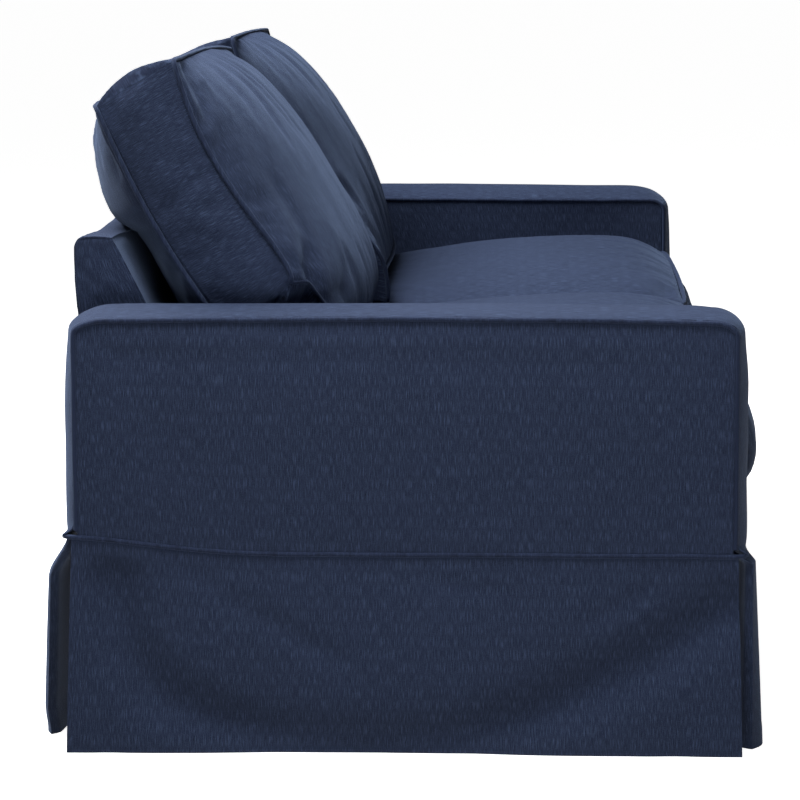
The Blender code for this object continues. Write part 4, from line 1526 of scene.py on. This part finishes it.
def make_slub_cloth(colours):
    """Navy cloth with fine pale and dark streaks along its warp."""
    tree = new_cloth("slub_cloth")
    weave = node_of(tree, "ShaderNodeUVMap", "weave in metres").outputs["UV"]
    width, length = colours.slub_width, colours.slub_length
    pale = streaks(tree, weave, "pale slubs", width, length, 0.0, detail=3.0)
    dark = streaks(tree, weave, "dark threads", width * 0.8, length * 0.7, 17.0, detail=3.0)
    weft = streaks(tree, weave, "weft", width * 9.0, width * 0.5, 31.0)
    heather = streaks(tree, weave, "heather", width * 1.2, width * 1.8, 47.0)
    cloud = streaks(tree, weave, "dye cloud", 0.11, 0.16, 61.0)
    layers = (
        (cloud, 0.3, 0.7, [value * 0.80 for value in colours.thread], "dye", 0.5),
        (dark, 0.48, 0.72, colours.shade, "dark", 0.90),
        (pale, 0.46, 0.70, colours.slub, "pale", 1.0),
        (weft, 0.5, 0.8, colours.shade, "weft", 0.35),
        (heather, 0.48, 0.70, colours.slub, "heather", 0.40),
    )
    added = node_of(tree, "ShaderNodeMath", "threads together", operation="ADD")
    tree.links.new(pale, added.inputs[0])
    tree.links.new(weft, added.inputs[1])
    finish_cloth(tree, colours, colours.thread, layers, added.outputs[0], 0.5, 0.0006)


def make_corded_cloth(colours):
    """The same cloth cut on the bias over a cord."""
    tree = new_cloth("corded_cloth")
    place = node_of(tree, "ShaderNodeTexCoord", "place in metres").outputs["Object"]
    fine = streaks(tree, place, "bias threads", 0.0022, 0.0022, 5.0)
    broad = streaks(tree, place, "bias shade", 0.012, 0.012, 9.0)
    layers = (
        (fine, 0.42, 0.72, colours.slub, "fine", 0.45),
        (broad, 0.45, 0.7, colours.shade, "broad", 0.45),
    )
    finish_cloth(tree, colours, colours.thread, layers, fine, 0.4, 0.0004)


# ---- operators
def on_both_sides(sew):
    for label, side in SIDES.items():
        sew(label, side)


class COVER_OT_materials(bpy.types.Operator):
    """Makes the slub cloth and the corded cloth"""

    bl_idname = "cover.materials"
    bl_label = "Cloths"

    def execute(self, context):
        make_slub_cloth(context.scene.cloth_colours)
        make_corded_cloth(context.scene.cloth_colours)
        return {"FINISHED"}


class COVER_OT_outside_arms(bpy.types.Operator):
    """Sews the two outside arm panels"""

    bl_idname = "cover.outside_arms"
    bl_label = "Outside arm panels"

    def execute(self, context):
        on_both_sides(sew_outside_arm)
        return {"FINISHED"}


class COVER_OT_arm_strips(bpy.types.Operator):
    """Sews the strips that run up, over and down the arms"""

    bl_idname = "cover.arm_strips"
    bl_label = "Arm strips"

    def execute(self, context):
        on_both_sides(sew_arm_strip)
        return {"FINISHED"}


class COVER_OT_inside_arms(bpy.types.Operator):
    """Sews the two inside arm panels"""

    bl_idname = "cover.inside_arms"
    bl_label = "Inside arm panels"

    def execute(self, context):
        on_both_sides(sew_inside_arm)
        return {"FINISHED"}


class COVER_OT_arm_welts(bpy.types.Operator):
    """Sews the cords along both seams of each arm"""

    bl_idname = "cover.arm_welts"
    bl_label = "Arm welts"

    def execute(self, context):
        on_both_sides(sew_arm_welts)
        return {"FINISHED"}


class COVER_OT_back_panels(bpy.types.Operator):
    """Sews the outside back, its top strip, its two ends and the inside back"""

    bl_idname = "cover.back_panels"
    bl_label = "Back panels"

    def execute(self, context):
        sew_outside_back()
        sew_back_top()
        sew_inside_back()
        on_both_sides(sew_back_end)
        return {"FINISHED"}


class COVER_OT_seat_panels(bpy.types.Operator):
    """Sews the seat deck and the border in front of it"""

    bl_idname = "cover.seat_panels"
    bl_label = "Seat panels"

    def execute(self, context):
        sew_seat_deck()
        sew_front_border()
        return {"FINISHED"}


class COVER_OT_skirts(bpy.types.Operator):
    """Hangs the four skirts, slit at the corners"""

    bl_idname = "cover.skirts"
    bl_label = "Skirts"

    def execute(self, context):
        on_both_sides(sew_side_skirt)
        sew_end_skirt("skirt_front_panel", "skirt_front", -1, WAIST_FRONT, FRONT_HANG, 140)
        sew_end_skirt("skirt_back_panel", "skirt_back", 1, WAIST_REAR, REAR_HANG, 144)
        return {"FINISHED"}


class COVER_OT_waist_welt(bpy.types.Operator):
    """Sews the cord round the waist"""

    bl_idname = "cover.waist_welt"
    bl_label = "Waist welt"

    def execute(self, context):
        sew_waist_welt()
        return {"FINISHED"}


class COVER_OT_seat_cushions(bpy.types.Operator):
    """Fills the two seat cushions and sews their welts"""

    bl_idname = "cover.seat_cushions"
    bl_label = "Seat cushions"

    def execute(self, context):
        sew_seat_cushion("left", -1, crown=0.90, boxing=0.050, set_back=0.0)
        sew_seat_cushion("right", 1, crown=1.0, boxing=0.037, set_back=0.006)
        return {"FINISHED"}


class COVER_OT_back_cushions(bpy.types.Operator):
    """Fills the two back cushions and sews their welts"""

    bl_idname = "cover.back_cushions"
    bl_label = "Back cushions"

    def execute(self, context):
        on_both_sides(sew_back_cushion)
        return {"FINISHED"}


FLOOR_SIZE = 600.0
FLOOR_DROP = 0.0005  # how far the floor lies under the hems
FLOOR_GLOW = 0.94  # the floor's own light, which keeps it near white
CAMERA_PLACE = (-5.594, -0.121, 1.151)
CAMERA_TURN = math.radians(1.61)  # from +X
CAMERA_DIP = math.radians(8.24)
CAMERA_LENS = 149.3


def point_at(item, ahead):
    """Turns a lamp or the camera to look ahead, and puts it on the stage."""
    item.rotation_mode = "QUATERNION"
    item.rotation_quaternion = ahead.to_track_quat("-Z", "Y")
    bpy.context.collection.objects.link(item)


def soft_light(name, power, wide, high, place, aim):
    lamp = bpy.data.lights.new(name, "AREA")
    lamp.shape = "RECTANGLE"
    lamp.size = wide
    lamp.size_y = high
    lamp.energy = power
    item = bpy.data.objects.new(name, lamp)
    item.location = place
    point_at(item, Vector(aim) - Vector(place))
    return lamp


class COVER_OT_stage(bpy.types.Operator):
    """Sets the pale floor, the soft lights and the camera"""

    bl_idname = "cover.stage"
    bl_label = "Stage"

    def execute(self, context):
        lights = context.scene.studio_lights
        deselect_all()
        bpy.ops.mesh.primitive_plane_add(size=FLOOR_SIZE, location=(0.0, 0.0, -FLOOR_DROP))
        floor = context.object
        floor.name = "pale_floor"
        material = bpy.data.materials.new("pale_floor")
        material.use_nodes = True
        shader = material.node_tree.nodes["Principled BSDF"]
        shader.inputs["Base Color"].default_value = (0.85, 0.85, 0.85, 1.0)
        shader.inputs["Roughness"].default_value = 0.9
        shader.inputs["Emission Color"].default_value = (1.0, 1.0, 1.0, 1.0)
        shader.inputs["Emission Strength"].default_value = FLOOR_GLOW
        floor.data.materials.append(material)
        floor.visible_diffuse = False
        world = bpy.data.worlds.new("studio_room")
        context.scene.world = world
        world.use_nodes = True
        background = world.node_tree.nodes["Background"]
        background.inputs["Color"].default_value = (1.0, 1.0, 1.0, 1.0)
        background.inputs["Strength"].default_value = lights.room
        soft_light("key_light", lights.key, 1.9, 1.9, (0.3, 1.60, 3.2), (0.1, -0.1, 0.5))
        soft_light("fill_light", lights.fill, 2.6, 0.7, (-3.8, -0.2, 0.38), (-1.0, 0.0, 0.38))
        top = soft_light("arm_light", lights.arm, 1.2, 1.2, (-1.6, 0.25, 2.4), (-1.0, 0.0, 0.5))
        top.spread = math.radians(80.0)
        self.add_camera(context)
        context.scene.view_settings.view_transform = "Standard"
        return {"FINISHED"}

    def add_camera(self, context):
        """A long lens from the left end, a little above the arm."""
        level = math.cos(CAMERA_DIP)
        ahead = math.cos(CAMERA_TURN) * level, math.sin(CAMERA_TURN) * level, -math.sin(CAMERA_DIP)
        lens = bpy.data.cameras.new("camera")
        lens.lens = CAMERA_LENS
        lens.sensor_width = 36.0
        lens.clip_end = 1000.0
        camera = bpy.data.objects.new("camera", lens)
        camera.location = CAMERA_PLACE
        point_at(camera, Vector(ahead))
        context.scene.camera = camera


MAKERS = (
    COVER_OT_materials,
    COVER_OT_outside_arms,
    COVER_OT_arm_strips,
    COVER_OT_inside_arms,
    COVER_OT_arm_welts,
    COVER_OT_back_panels,
    COVER_OT_seat_panels,
    COVER_OT_skirts,
    COVER_OT_waist_welt,
    COVER_OT_seat_cushions,
    COVER_OT_back_cushions,
    COVER_OT_stage,
)


class COVER_PT_panel(bpy.types.Panel):
    """Lists the settings and the makers of the cover"""

    bl_idname = "COVER_PT_panel"
    bl_label = "Sofa slipcover"
    bl_space_type = "VIEW_3D"
    bl_region_type = "UI"
    bl_category = "Slipcover"

    def draw(self, context):
        layout = self.layout
        for group in GROUPS:
            box = layout.box()
            settings = getattr(context.scene, group)
            for name in settings.bl_rna.properties.keys():
                if name not in ("name", "rna_type"):
                    box.prop(settings, name)
        for maker in MAKERS:
            layout.operator(maker.bl_idname)


GROUPS = {
    "cover_sewing": SewingSizes,
    "cushion_filling": CushionFilling,
    "cloth_colours": ClothColours,
    "studio_lights": StudioLights,
}


def register():
    for group, kind in GROUPS.items():
        bpy.utils.register_class(kind)
        setattr(bpy.types.Scene, group, bpy.props.PointerProperty(type=kind))
    for maker in MAKERS:
        bpy.utils.register_class(maker)
    bpy.utils.register_class(COVER_PT_panel)


def unregister():
    bpy.utils.unregister_class(COVER_PT_panel)
    for maker in reversed(MAKERS):
        bpy.utils.unregister_class(maker)
    for group, kind in GROUPS.items():
        delattr(bpy.types.Scene, group)
        bpy.utils.unregister_class(kind)


def main():
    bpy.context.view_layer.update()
    register()
    for maker in MAKERS:
        group, name = maker.bl_idname.split(".")
        getattr(getattr(bpy.ops, group), name)()


if __name__ == "__main__":
    main()
